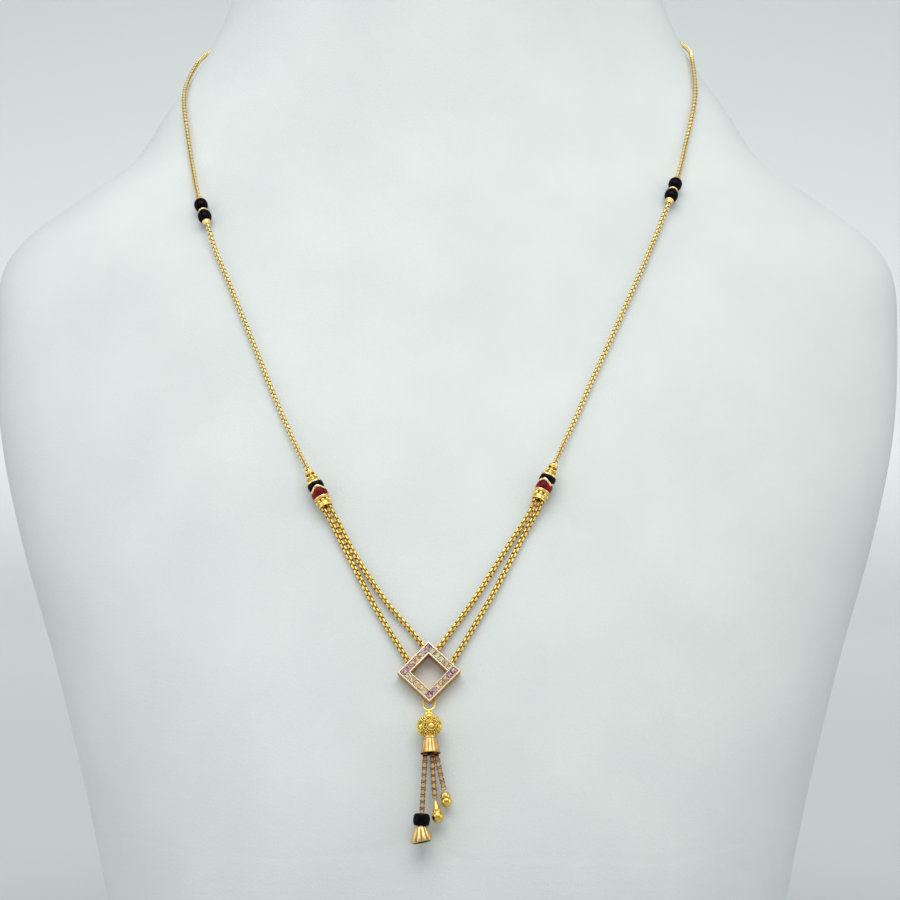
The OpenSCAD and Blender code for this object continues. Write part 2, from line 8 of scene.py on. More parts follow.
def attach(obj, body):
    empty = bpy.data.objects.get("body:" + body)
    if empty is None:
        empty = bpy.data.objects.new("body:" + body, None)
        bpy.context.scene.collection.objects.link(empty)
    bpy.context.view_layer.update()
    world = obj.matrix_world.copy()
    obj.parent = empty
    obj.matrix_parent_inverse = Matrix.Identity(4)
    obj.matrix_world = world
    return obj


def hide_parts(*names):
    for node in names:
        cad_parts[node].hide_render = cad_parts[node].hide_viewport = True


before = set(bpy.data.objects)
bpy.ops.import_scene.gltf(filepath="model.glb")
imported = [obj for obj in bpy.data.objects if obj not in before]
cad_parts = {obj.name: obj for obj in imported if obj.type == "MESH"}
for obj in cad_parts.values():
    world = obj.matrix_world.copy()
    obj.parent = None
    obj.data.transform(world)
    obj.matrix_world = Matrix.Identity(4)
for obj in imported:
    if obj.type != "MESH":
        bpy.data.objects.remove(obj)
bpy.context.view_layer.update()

# The studio: the bust stands on a pale grey sweep that curves up well behind it, under a soft
# light overhead, a weaker one at each side, one on the wall behind and a little light from all
# round. The camera stands level with the collar bones, as in the photograph.
scene = bpy.context.scene
PENDANT_AWAY, SEEN_WIDTH, SENSOR_WIDTH = 650, 198, 36
camera_data = bpy.data.cameras.new("camera")
camera_data.lens = SENSOR_WIDTH * PENDANT_AWAY / SEEN_WIDTH
camera_data.sensor_width = SENSOR_WIDTH
camera_data.clip_start = 0.05
camera_data.clip_end = 20
camera = bpy.data.objects.new("camera", camera_data)
camera.location = (0.0007, -0.697, 0.1406)
camera.rotation_euler = (math.radians(90), 0, 0)
scene.collection.objects.link(camera)
scene.camera = camera

SWEEP_HALF, BEND_AT, BEND_R, WALL_TOP = 2.6, 1.7, 0.9, 3.4
sweep_profile = [(-SWEEP_HALF, 0.0), (BEND_AT, 0.0)]
for a in np.linspace(0.05, math.pi / 2, 24):
    sweep_profile.append((BEND_AT + BEND_R * math.sin(a), BEND_R - BEND_R * math.cos(a)))
sweep_profile.append((SWEEP_HALF, WALL_TOP))
sweep_points = [(x, y, z) for y, z in sweep_profile for x in (-SWEEP_HALF, SWEEP_HALF)]
sweep_faces = [(2 * i, 2 * i + 1, 2 * i + 3, 2 * i + 2) for i in range(len(sweep_profile) - 1)]
sweep_mesh = bpy.data.meshes.new("backdrop")
sweep_mesh.from_pydata(sweep_points, [], sweep_faces)
sweep_mesh.polygons.foreach_set("use_smooth", [True] * len(sweep_faces))
backdrop = bpy.data.objects.new("backdrop", sweep_mesh)
scene.collection.objects.link(backdrop)


def new_paint(name, **kinds):
    """A new material and its nodes by name: its shader, and one of each kind asked for."""
    paint = bpy.data.materials.new(name)
    paint.use_nodes = True
    nodes = {"shader": paint.node_tree.nodes["Principled BSDF"]}
    for label, kind in kinds.items():
        nodes[label] = paint.node_tree.nodes.new("ShaderNode" + kind)
    return paint, nodes


def set_up(nodes, **settings):
    """Sets nodes by name: a property by its name, a socket by its name or number."""
    for label, values in settings.items():
        for name, value in values.items():
            if isinstance(name, str) and hasattr(nodes[label], name):
                setattr(nodes[label], name, value)
            else:
                nodes[label].inputs[name].default_value = value


def set_ramp(node, stops):
    """Sets a colour ramp from its stops, from left to right, each a position and a colour."""
    elements = node.color_ramp.elements
    while len(elements) < len(stops):
        elements.new(0.5)
    for element, (where, colour) in zip(elements, stops):
        element.position = where
        element.color = (*colour, 1)


def join_up(tree, nodes, joins):
    """Joins nodes, one line each: node.socket > node.socket, by the socket's name or number."""
    for join in joins.strip().splitlines():
        (source, given), (goal, taken) = (end.strip().split(".") for end in join.split(">"))
        given, taken = (int(s) if s.isdigit() else s for s in (given, taken))
        tree.links.new(nodes[source].outputs[given], nodes[goal].inputs[taken])


backdrop_paint, nodes = new_paint("pale grey sweep", place="TexCoord", split="SeparateXYZ",
                                  height="MapRange", fade="ValToRGB")
set_up(nodes, shader={"Roughness": 0.9}, height={"From Max": 0.7})
# Painted light and shade: the sweep's grey is darker on the floor, lightest on the wall near the bust's
# height and darker again towards the top, as the light falls off.
painted_light_stops = [(where, (0.945 * shade, shade, 0.99 * shade)) for where, shade in ((0.03, 0.6), (0.2, 0.8))]
set_ramp(nodes["fade"], [(0, (0.563, 0.596, 0.59)), *painted_light_stops, (1, (0.53, 0.562, 0.556))])
join_up(backdrop_paint.node_tree, nodes, """
    place.Object > split.Vector
    split.Z > height.Value
    height.Result > fade.Fac
    fade.Color > shader.Base Color""")
sweep_mesh.materials.append(backdrop_paint)

world = bpy.data.worlds.new("soft room light")
world.use_nodes = True
set_up(world.node_tree.nodes, Background={"Color": (0.93, 0.97, 1.0, 1), "Strength": 0.5})
scene.world = world
scene.view_settings.view_transform = "Standard"


def soft_light(name, place, aim, width, height, watts, colour):
    data = bpy.data.lights.new(name, "AREA")
    data.shape = "RECTANGLE"
    data.size = width
    data.size_y = height
    data.energy = watts
    data.color = colour
    light = bpy.data.objects.new(name, data)
    light.location = place
    light.rotation_euler = (Vector(aim) - Vector(place)).to_track_quat("-Z", "Y").to_euler()
    scene.collection.objects.link(light)


soft_light("overhead light", (0.0, -0.6, 1.2), (0, 0, 0.24), 1.4, 0.7, 12.5, (1.0, 0.99, 0.97))
soft_light("left light", (-1.2, -0.4, 0.5), (0, 0, 0.18), 1.0, 1.0, 3.8, (0.97, 0.98, 1.0))
soft_light("right light", (1.2, -0.4, 0.5), (0, 0, 0.18), 1.0, 1.0, 3.4, (1.0, 0.99, 0.97))
soft_light("light on the wall behind", (0.0, 1.2, 1.5), (0, 2.6, 0.3), 2.4, 0.5, 18.0, (1.0, 1.0, 1.0))

# The neck bust: one closed form with a flat base and a flat neck top, wrapped tightly in white
# matte leatherette. Its outline is a table of half widths, fronts and backs by height, joined by
# smooth curves, and every level is a rounded oval.
MM = 0.001
BUST = np.array([
    [0, 71, -51.5, 57], [15, 76, -56, 60], [35, 79.5, -58, 60.5], [60, 84.8, -55.2, 61],
    [90, 92.9, -45.9, 63], [120, 102.5, -32.6, 65], [145, 108.7, -20.3, 70.5], [170, 111, -7.7, 76],
    [184, 110.6, -0.6, 80], [193, 105.2, 3.8, 82.3], [203, 92.4, 8.3, 85], [213, 79, 12.5, 87.4],
    [225, 71.3, 16.7, 89], [240, 61.2, 20.7, 91], [258, 53.8, 23.8, 91], [275, 52.5, 25, 90],
    [292, 53.8, 25, 89]])
OVAL = 2.25


def bust_row(z):
    """Half width, front and back of the bust at a height, all in millimetres."""
    i = min(max(int(np.searchsorted(BUST[:, 0], z)) - 1, 0), len(BUST) - 2)
    h = BUST[i + 1, 0] - BUST[i, 0]
    t = (z - BUST[i, 0]) / h

    def rise(k):
        a, b = max(0, k - 1), min(len(BUST) - 1, k + 1)
        return (BUST[b, 1:] - BUST[a, 1:]) / (BUST[b, 0] - BUST[a, 0])

    return ((2 * t ** 3 - 3 * t * t + 1) * BUST[i, 1:] + (t ** 3 - 2 * t * t + t) * h * rise(i)
            + (3 * t * t - 2 * t ** 3) * BUST[i + 1, 1:] + (t ** 3 - t * t) * h * rise(i + 1))


def skin(angle, z, inset=0.0):
    """A point of the skin by its angle round the bust and its height."""
    a, f, b = bust_row(z)
    c, s = math.cos(math.radians(angle)), math.sin(math.radians(angle))
    return np.array([(a - inset) * math.copysign(abs(c) ** (2 / OVAL), c),
                     (f + b) / 2 + ((b - f) / 2 - inset) * math.copysign(abs(s) ** (2 / OVAL), s), z])


def front_point(x, z):
    a, f, b = bust_row(z)
    return np.array([x, (f + b) / 2 - (b - f) / 2 * max(0.0, 1 - abs(x / a) ** OVAL) ** (1 / OVAL), z])


def unit(v):
    return np.asarray(v, float) / np.linalg.norm(v)


def front_out(x, z):
    return unit(np.cross(front_point(x + 0.5, z) - front_point(x - 0.5, z),
                         front_point(x, z + 0.5) - front_point(x, z - 0.5)))


def skin_out(angle, z):
    return unit(np.cross(skin(angle + 1, z) - skin(angle - 1, z),
                         skin(angle, z + 0.5) - skin(angle, z - 0.5)))


def ring_faces(rings, sides, closed=True):
    """The faces of a skin over rings of points; closed joins the last ring to the first."""
    return [(i * sides + j, i * sides + (j + 1) % sides,
             (i + 1) % rings * sides + (j + 1) % sides, (i + 1) % rings * sides + j)
            for i in range(rings if closed else rings - 1) for j in range(sides)]


def piece_from(mesh, name, material, node):
    """Makes a mesh a piece, with its material and body, and hides the plain solid it stands for."""
    piece = bpy.data.objects.new(name, mesh)
    scene.collection.objects.link(piece)
    if material is not None:
        mesh.materials.clear()
        mesh.materials.append(material)
    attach(piece, "root")
    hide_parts(node)


leather, nodes = new_paint("white matte leatherette", place="TexCoord", cells="TexVoronoi",
                           drift="TexNoise", tint="ValToRGB", grain="Bump", swell="Bump",
                           split="SeparateXYZ", warp="Math", band="MapRange", fold="ValToRGB",
                           crease="Bump")
set_up(nodes, shader={"Roughness": 0.62, "Specular IOR Level": 0.35},
       cells={"feature": "DISTANCE_TO_EDGE", "Scale": 1150}, drift={"Scale": 38, "Detail": 4},
       grain={"Strength": 0.35, "Distance": 0.00012}, swell={"Strength": 0.25, "Distance": 0.0008},
       crease={"Strength": 0.3, "Distance": 0.0001}, band={"From Min": 0.046, "From Max": 0.064},
       warp={"operation": "MULTIPLY_ADD", 1: 0.009})
set_ramp(nodes["tint"], [(0.3, (0.585, 0.625, 0.615)), (0.7, (0.635, 0.675, 0.663))])
CREASES = ((0.0, 1), (0.2, 1), (0.27, 0.6), (0.34, 1), (0.52, 1), (0.6, 0), (0.68, 1))
set_ramp(nodes["fold"], [(where, (height,) * 3) for where, height in CREASES])
join_up(leather.node_tree, nodes, """
    place.Object > cells.Vector
    place.Object > drift.Vector
    drift.Fac > tint.Fac
    tint.Color > shader.Base Color
    cells.Distance > grain.Height
    drift.Fac > swell.Height
    grain.Normal > swell.Normal
    place.Object > split.Vector
    drift.Fac > warp.0
    split.Z > warp.2
    warp.Value > band.Value
    band.Result > fold.Fac
    fold.Color > crease.Height
    swell.Normal > crease.Normal
    crease.Normal > shader.Normal""")

ROUND_STEPS, LEVEL_STEP = 220, 1.8
bust_levels = [(0, 3.0), (0.25, 1.9), (0.8, 1.0), (1.6, 0.35), (2.6, 0.0)]
bust_levels += [(z, 0.0) for z in np.arange(5, 288, LEVEL_STEP)]
bust_levels += [(288.6, 0.0), (290.2, 0.35), (291.2, 1.0), (291.8, 1.9), (292, 3.0)]
ways_round = np.linspace(0, 360, ROUND_STEPS, endpoint=False)
bust_points = np.array([skin(a, z, inset) for z, inset in bust_levels for a in ways_round]) * MM
bust_faces = ring_faces(len(bust_levels), ROUND_STEPS, False)
bust_flags = [True] * len(bust_faces) + [False, False]
bust_faces.append(tuple(range(ROUND_STEPS - 1, -1, -1)))
bust_faces.append(tuple(range(len(bust_points) - ROUND_STEPS, len(bust_points))))
bust_mesh = bpy.data.meshes.new("neck_bust")
bust_mesh.from_pydata(bust_points.tolist(), [], bust_faces)
bust_mesh.polygons.foreach_set("use_smooth", bust_flags)
bust_mesh.validate()
piece_from(bust_mesh, "neck_bust", leather, "bust")

# The main chain: a fine box chain of folded square links in yellow gold, each link turned a
# quarter against the next. It leaves the caps of the two barrels, lies on the chest and round the
# neck, and closes at the nape.
CHAIN_W, CHAIN_GAP, CLASP_W = 1.2, 0.4, 3.2
LIE = CHAIN_W / 2 + CHAIN_GAP
NAPE_Z = 258
BARREL = [[(-27.1, 126.8, 2.15), (-31.1, 134.4, 3.0)], [(20.5, 128.3, 2.15), (24.1, 135.9, 3.0)]]
LEFT = [(-32.3, 136.7, 2.5), (-33.4, 138.9, 1.9), (-34.9, 142, 1.3), (-37.3, 147.1, LIE),
        (-41, 155.5, LIE), (-44.7, 164.2, LIE), (-48.4, 172.8, LIE), (-52.3, 181.8, LIE),
        (-55.1, 188.2, 1.3), (-56.6, 192.8, 2.1), (-59.4, 200.8, 2.1), (-60.6, 205.2, 1.5),
        (-61.8, 210, LIE), (-63.3, 218, LIE), (-64.4, 224.2, LIE), (-64.8, 229, LIE), (-63.8, 234, LIE)]
RIGHT = [(25.1, 138, 2.5), (26, 140.1, 1.9), (27.3, 143, 1.3), (29.3, 147.1, LIE),
         (33.3, 155.9, LIE), (37.4, 164.5, LIE), (41.5, 173.4, LIE), (45.7, 182.4, LIE),
         (49.6, 191.3, LIE), (51.2, 195.2, 1.4), (52.6, 198.6, 2.1), (55.4, 206.2, 2.1),
         (56.7, 210.6, 1.5), (57.9, 215.2, LIE), (59.5, 221.4, LIE), (60.8, 228, LIE), (60.8, 234.7, LIE)]
NECK_TURNS = (0.05, 0.12, 0.2, 0.3, 0.42, 0.56, 0.72, 0.87, 1)


def on_front(p):
    return front_point(p[0], p[1]) + p[2] * front_out(p[0], p[1])


def on_skin(p):
    return skin(p[0], p[1]) + p[2] * skin_out(p[0], p[1])


def neck_route(a0, a1, z0):
    return [(a0 + t * (a1 - a0), z0 + (NAPE_Z - z0) * math.sin(math.pi / 2 * t),
             LIE + 0.15 if t < 1 else CLASP_W / 2 + 0.4) for t in NECK_TURNS]


LEFT_NECK, RIGHT_NECK = neck_route(192, 93, 236), neck_route(-20, 87, 236.5)
barrel_a = [on_front(b[0]) for b in BARREL]
barrel_b = [on_front(b[1]) for b in BARREL]
barrel_w = [unit(b - a) for a, b in zip(barrel_a, barrel_b)]
barrel_out = [front_out(b[0][0], b[0][1]) for b in BARREL]


def chain_route(side, front, neck):
    points = [barrel_b[side] + k * barrel_w[side] for k in (-0.9, 0.6)]
    points += [on_front(p) for p in front] + [on_skin(p) for p in neck]
    outs = [barrel_out[side]] * 2 + [front_out(p[0], p[1]) for p in front]
    outs += [skin_out(p[0], p[1]) for p in neck]
    return np.array(points), np.array(outs)


left_points, left_outs = chain_route(0, LEFT, LEFT_NECK)
right_points, right_outs = chain_route(1, RIGHT, RIGHT_NECK)


def smooth_path(points, outs, steps=10):
    """A smooth curve through points, with the outward direction carried along."""
    p = np.vstack([2 * points[0] - points[1], points, 2 * points[-1] - points[-2]])
    line, facing = [], []
    for i in range(1, len(p) - 2):
        knots = [0.0]
        for k in range(3):
            knots.append(knots[-1] + np.linalg.norm(p[i + k] - p[i + k - 1]) ** 0.5)
        for s in range(steps):
            t = knots[1] + (knots[2] - knots[1]) * s / steps
            q = [((knots[k + 1] - t) * p[i - 1 + k] + (t - knots[k]) * p[i + k]) / (knots[k + 1] - knots[k])
                 for k in range(3)]
            q = [((knots[k + 2] - t) * q[k] + (t - knots[k]) * q[k + 1]) / (knots[k + 2] - knots[k])
                 for k in range(2)]
            line.append(((knots[2] - t) * q[0] + (t - knots[1]) * q[1]) / (knots[2] - knots[1]))
            facing.append(unit(outs[i - 1] + (outs[i] - outs[i - 1]) * s / steps))
    return np.array(line + [points[-1]]), np.array(facing + [outs[-1]])


def make_mesh(name, points, faces, sharp=35.0):
    """A mesh from millimetres with merged doubles, outward faces and edges sharp past an angle."""
    bm = bmesh.new()
    made = [bm.verts.new((x * MM, y * MM, z * MM)) for x, y, z in points]
    for face in faces:
        bm.faces.new([made[k] for k in face])
    bmesh.ops.remove_doubles(bm, verts=bm.verts, dist=1e-6)
    bmesh.ops.dissolve_degenerate(bm, edges=bm.edges, dist=1e-7)
    bmesh.ops.recalc_face_normals(bm, faces=bm.faces)
    mesh = bpy.data.meshes.new(name)
    bm.to_mesh(mesh)
    bm.free()
    mesh.polygons.foreach_set("use_smooth", [True] * len(mesh.polygons))
    mesh.set_sharp_from_angle(angle=math.radians(sharp))
    return mesh


def paint_shade(mesh, amount):
    """Paints shade into the metal of a mesh, a darkness for each point from its points in millimetres:
    painted shade that stands in for the shade in its hollows.
    """
    points = np.empty(3 * len(mesh.vertices))
    mesh.vertices.foreach_get("co", points)
    shade_level = np.clip(amount(points.reshape(-1, 3) / MM), 0, 1)
    mesh.attributes.new("hollow", "FLOAT", "POINT").data.foreach_set("value", shade_level)
    return mesh


def box_link(name, width, length, wall, strip, cut, shade_level, ends=0.0, edges=0.0):
    """One folded link: a square ring of flat strip with cut corners, its opening along y."""
    rounding, edge = 0.22 * strip, strip / 2

    def square(x, z, c):
        quarter_turn = [(x, -z + c), (x, z - c), (x - c, z), (-x + c, z)]
        return quarter_turn + [(-a, -b) for a, b in quarter_turn]

    points = []
    inner_cut = max(cut - 0.6 * wall, 0.05)
    outside = square(width / 2, length / 2, cut)
    inside = square(width / 2 - wall, length / 2 - wall, inner_cut)
    for (ox, oz), (ix, iz) in zip(outside, inside):
        sx, sz = ox + 0.45 * (ix - ox), oz + 0.45 * (iz - oz)
        points += [(ix, -edge, iz), (sx, -edge, sz), (ox, -edge + rounding, oz),
                   (ox, edge - rounding, oz), (sx, edge, sz), (ix, edge, iz)]
    mesh = make_mesh(name, points, ring_faces(8, 6), 20)

    # Painted shade in three amounts: darker deep inside the ring's opening, towards the strip's ends where
    # they pass into their neighbours, and on the strip's side edges.
    def sunk(p):
        x, y, z = np.abs(p).T
        depth = np.minimum(width / 2 - x, length / 2 - z)
        return np.maximum.reduce((shade_level * np.clip(depth / (0.45 * wall), 0, 1),
                                  ends * np.clip(1 - (length / 2 - z) / cut, 0, 1),
                                  edges * (y > edge - 0.01)))

    return bpy.data.objects.new(name, paint_shade(mesh, sunk))


def repeating_tree(name, item, result, sizes, **kinds):
    """A tree with named inputs that sets one item on many points and makes it all one metal."""
    tree = bpy.data.node_groups.new(name, "GeometryNodeTree")
    for label, kind in (*sizes, (item, "Object"), ("Metal", "Material")):
        tree.interface.new_socket(label, in_out="INPUT", socket_type="NodeSocket" + kind)
    tree.interface.new_socket(result, in_out="OUTPUT", socket_type="NodeSocketGeometry")
    kinds.update(given="NodeGroupInput", made="NodeGroupOutput", item="GeometryNodeObjectInfo",
                 hang="GeometryNodeInstanceOnPoints", solid="GeometryNodeRealizeInstances",
                 metal="GeometryNodeSetMaterial")
    nodes = {label: tree.nodes.new(kind) for label, kind in kinds.items()}
    join_up(tree, nodes, f"""
        given.{item} > item.Object
        item.Geometry > hang.Instance
        hang.Instances > solid.Geometry
        solid.Geometry > metal.Geometry
        given.Metal > metal.Material
        metal.Geometry > made.{result}""")
    return tree, nodes


# Links at even steps along a path, each turned a quarter against the last.
box_chain_tree, nodes = repeating_tree(
    "box chain along a path", "Link", "Chain",
    (("Path", "Geometry"), ("Number of links", "Int"), ("First turn", "Int")),
    curve="GeometryNodeMeshToCurve", steps="GeometryNodeCurveToPoints",
    along="FunctionNodeAlignRotationToVector", facing="FunctionNodeAlignRotationToVector",
    out="GeometryNodeInputNamedAttribute", number="GeometryNodeInputIndex",
    counted="ShaderNodeMath", odd="ShaderNodeMath", quarter="ShaderNodeMath",
    turn="ShaderNodeCombineXYZ", rotation="FunctionNodeEulerToRotation",
    turned="FunctionNodeRotateRotation")
set_up(nodes, steps={"mode": "COUNT"}, along={"axis": "Z"}, facing={"axis": "Y", "pivot_axis": "Z"},
       out={"data_type": "FLOAT_VECTOR", "Name": "out"}, counted={"operation": "ADD"},
       odd={"operation": "MODULO", 1: 2}, quarter={"operation": "MULTIPLY", 1: math.pi / 2},
       turned={"rotation_space": "LOCAL"})
join_up(box_chain_tree, nodes, """
    given.Path > curve.Mesh
    curve.Curve > steps.Curve
    given.Number of links > steps.Count
    steps.Tangent > along.Vector
    along.Rotation > facing.Rotation
    out.Attribute > facing.Vector
    number.Index > counted.0
    given.First turn > counted.1
    counted.Value > odd.0
    odd.Value > quarter.0
    quarter.Value > turn.Z
    turn.Vector > rotation.Euler
    facing.Rotation > turned.Rotation
    rotation.Rotation > turned.Rotate By
    steps.Points > hang.Points
    turned.Rotation > hang.Rotation""")


def grown(name, base, tree, settings):
    """The plain mesh that a node tree makes of a base mesh with these settings."""
    holder = bpy.data.objects.new(name, base)
    scene.collection.objects.link(holder)
    modifier = holder.modifiers.new(name, "NODES")
    modifier.node_group = tree
    for socket in tree.interface.items_tree:
        if socket.in_out == "INPUT" and socket.name in settings:
            modifier[socket.identifier] = settings[socket.name]
    seen = holder.evaluated_get(bpy.context.evaluated_depsgraph_get())
    mesh = bpy.data.meshes.new_from_object(seen)
    mesh.name = name
    holder.modifiers.clear()
    bpy.data.objects.remove(holder)
    bpy.data.meshes.remove(base)
    return mesh


def chain_mesh(name, line, facing, link, number, metal, first=1, on_edge=True):
    """Links along a line; on edge, two rows of links show."""
    if on_edge:
        along = np.gradient(line, axis=0)
        aside = np.cross(along / np.linalg.norm(along, axis=1)[:, None], facing)
        facing = (facing + aside) / math.sqrt(2)
    path = bpy.data.meshes.new(name + " path")
    path.from_pydata((line * MM).tolist(), [(i, i + 1) for i in range(len(line) - 1)], [])
    path.attributes.new("out", "FLOAT_VECTOR", "POINT").data.foreach_set("vector", facing.ravel())
    return grown(name, path, box_chain_tree,
                 {"Link": link, "Number of links": number, "First turn": first, "Metal": metal})


def links_for(line, pitch):
    """How many links a pitch apart fill a line from end to end."""
    length = float(np.linalg.norm(np.diff(line, axis=0), axis=1).sum())
    return int(round(length / pitch)) + 1


def metal_finish(name, colour, deep, roughness, scratch, hollow=(0.09, 0.035, 0.008)):
    """Gold: a warm colour that drifts a little, fine polishing marks, and a painted shade colour that a point
    attribute mixes in, painted shade for the hollows.
    """
    paint, nodes = new_paint(name, place="TexCoord", cloud="TexNoise", marks="TexNoise",
                             tint="ValToRGB", rough="MapRange", bump="Bump", sunk="Attribute",
                             mix="Mix")
    set_up(nodes, shader={"Metallic": 1, "Roughness": roughness}, cloud={"Scale": 900, "Detail": 3},
           marks={"Scale": 5200, "Detail": 2}, bump={"Strength": scratch, "Distance": 0.00002},
           rough={"To Min": roughness * 0.75, "To Max": roughness * 1.3},
           sunk={"attribute_name": "hollow"}, mix={"data_type": "RGBA", 7: (*hollow, 1)})
    set_ramp(nodes["tint"], [(0.34, deep), (0.66, colour)])
    join_up(paint.node_tree, nodes, """
        place.Object > cloud.Vector
        place.Object > marks.Vector
        cloud.Fac > tint.Fac
        tint.Color > mix.6
        sunk.Fac > mix.0
        mix.2 > shader.Base Color
        marks.Fac > rough.Value
        rough.Result > shader.Roughness
        marks.Fac > bump.Height
        bump.Normal > shader.Normal""")
    return paint


yellow_gold = metal_finish("polished yellow gold", (1.0, 0.76, 0.25), (0.94, 0.62, 0.14), 0.22, 0.35)
fine_chain_gold = metal_finish("gold of the fine chain", (1.0, 0.84, 0.45), (1.0, 0.75, 0.31),
                               0.36, 0.3, (0.46, 0.29, 0.06))
fine_link = box_link("fine box link", 0.9 * CHAIN_W, 1.0, 0.16, 0.62, 0.2, 0.7)
FINE_PITCH = 0.61
for side, points, outs in (("left", left_points, left_outs), ("right", right_points, right_outs)):
    line, facing = smooth_path(points, outs)
    mesh = chain_mesh("box_chain_" + side, line, facing, fine_link,
                      links_for(line, FINE_PITCH), fine_chain_gold)
    piece_from(mesh, "box_chain_" + side, fine_chain_gold, "chain_" + side)

# The strands: two box chains of slightly wider links run side by side out of each barrel's flange,
# part on the chest, and end in the upper walls of the diamond frame.
FRAME_SIDE, BAND_W, FRAME_T = 9.8, 2.05, 2.5
FRAME_AT, FRAME_TURN = (-3.9, 91, 0.35 + FRAME_T), math.radians(1.5)
frame_w = front_out(FRAME_AT[0], FRAME_AT[1])
upright = unit(np.array([0, 0, 1]) - frame_w[2] * frame_w)
sideways = np.cross(upright, frame_w)
frame_u = math.cos(FRAME_TURN) * sideways + math.sin(FRAME_TURN) * upright
frame_v = np.cross(frame_w, frame_u)
frame_o = on_front(FRAME_AT)
STRAND_GAP = 0.68
STRAND_ENDS = [(-4.07, 2.01), (-0.62, 5.46), (1.48, 4.6), (4.63, 1.45)]
STRAND_LIE = 1.05
LANES = [[(-26.2, 124.2, 1.7), (-23.2, 118.6, STRAND_LIE), (-19.4, 111.6, STRAND_LIE),
          (-15.7, 104.9, STRAND_LIE), (-12.4, 99.6, STRAND_LIE)],
         [(-25, 124.7, 1.7), (-21.95, 119.1, STRAND_LIE), (-17.8, 112.4, STRAND_LIE),
          (-13, 105.8, STRAND_LIE), (-7.8, 100, STRAND_LIE)],
         [(19, 126.4, 1.7), (15.4, 121.1, STRAND_LIE), (11.1, 114.6, STRAND_LIE),
          (6.6, 107.6, STRAND_LIE), (2, 101.4, STRAND_LIE)],
         [(20.3, 126.2, 1.7), (17.2, 120.9, STRAND_LIE), (13.6, 114.2, STRAND_LIE),
          (9.8, 107.3, STRAND_LIE), (5.6, 100.4, STRAND_LIE)]]
STRAND_NAMES = ("left_outer", "left_inner", "right_inner", "right_outer")


def in_frame(p):
    return frame_o + p[0] * frame_u + p[1] * frame_v + p[2] * frame_w


def strand_start(k, depth):
    s = k // 2
    u = unit(np.cross(barrel_w[s], barrel_out[s]))
    return barrel_a[s] + (-STRAND_GAP if k % 2 == 0 else STRAND_GAP) * u + depth * barrel_w[s]


strand_gold = metal_finish("gold of the strands", (1.0, 0.78, 0.28), (0.97, 0.65, 0.15), 0.3, 0.3,
                           (0.29, 0.13, 0.008))
strand_link = box_link("strand box link", 1.14, 1.2, 0.2, 0.64, 0.23, 0.75)
STRAND_PITCH = 0.705
for k, name in enumerate(STRAND_NAMES):
    end = in_frame((*STRAND_ENDS[k], -1.65))
    last = on_front(LANES[k][4])
    points = [strand_start(k, 0.65), strand_start(k, -0.5)] + [on_front(p) for p in LANES[k]]
    points += [end + 2.2 * unit(last - end), end]
    outs = [barrel_out[k // 2]] * 2 + [front_out(p[0], p[1]) for p in LANES[k]] + [frame_w] * 2
    line, facing = smooth_path(np.array(points), np.array(outs))
    mesh = chain_mesh("strand_chain_" + name, line, facing, strand_link,
                      links_for(line, STRAND_PITCH), strand_gold, k % 2)
    piece_from(mesh, "strand_chain_" + name, strand_gold, "strand_" + name)


# The clasp hides behind the neck: one plain polished capsule, turned, that takes both ends of the
# chain. It is built plainly, because nothing in the photograph shows it.
TURNED_STEPS = 64


def lathe(name, profile):
    """A turned solid from a closed profile of radius and height, anticlockwise."""
    n, steps = len(profile), TURNED_STEPS
    points = [(r * math.cos(a), r * math.sin(a), z) for r, z in profile
              for a in np.linspace(0, 2 * math.pi, steps, endpoint=False)]
    on_axis = [profile[i][0] < 1e-9 and profile[(i + 1) % n][0] < 1e-9 for i in range(n)]
    faces = [face for k, face in enumerate(ring_faces(n, steps)) if not on_axis[k // steps]]
    return make_mesh(name, points, faces)


def rounded(profile, reach, steps=3):
    """The same closed profile with each corner cut into a short curve; points on the axis stay."""
    out = []
    for i, (r, z) in enumerate(profile):
        p = np.array(profile[i])
        a = np.array(profile[i - 1])
        b = np.array(profile[(i + 1) % len(profile)])
        la, lb = np.linalg.norm(a - p), np.linalg.norm(b - p)
        if r < 1e-9 or min(la, lb) < 1e-9:
            out.append((r, z))
            continue
        a = p + (a - p) / la * min(reach, 0.45 * la)
        b = p + (b - p) / lb * min(reach, 0.45 * lb)
        for t in np.linspace(0, 1, steps + 1):
            q = (1 - t) ** 2 * a + 2 * t * (1 - t) * p + t * t * b
            out.append((float(q[0]), float(q[1])))
    return out


def placed(mesh, o, u, v, w):
    """Moves a mesh from its own millimetre frame, already in metres, to where its piece stands."""
    m = Matrix([[u[0], v[0], w[0], o[0] * MM], [u[1], v[1], w[1], o[1] * MM],
                [u[2], v[2], w[2], o[2] * MM], [0, 0, 0, 1]])
    mesh.transform(m)
    return mesh


def axes_along(a, b, out):
    w = unit(b - a)
    u = unit(np.cross(w, out))
    return a, u, np.cross(w, u), w


def shifted(axes, z):
    o, u, v, w = axes
    return o + z * w, u, v, w


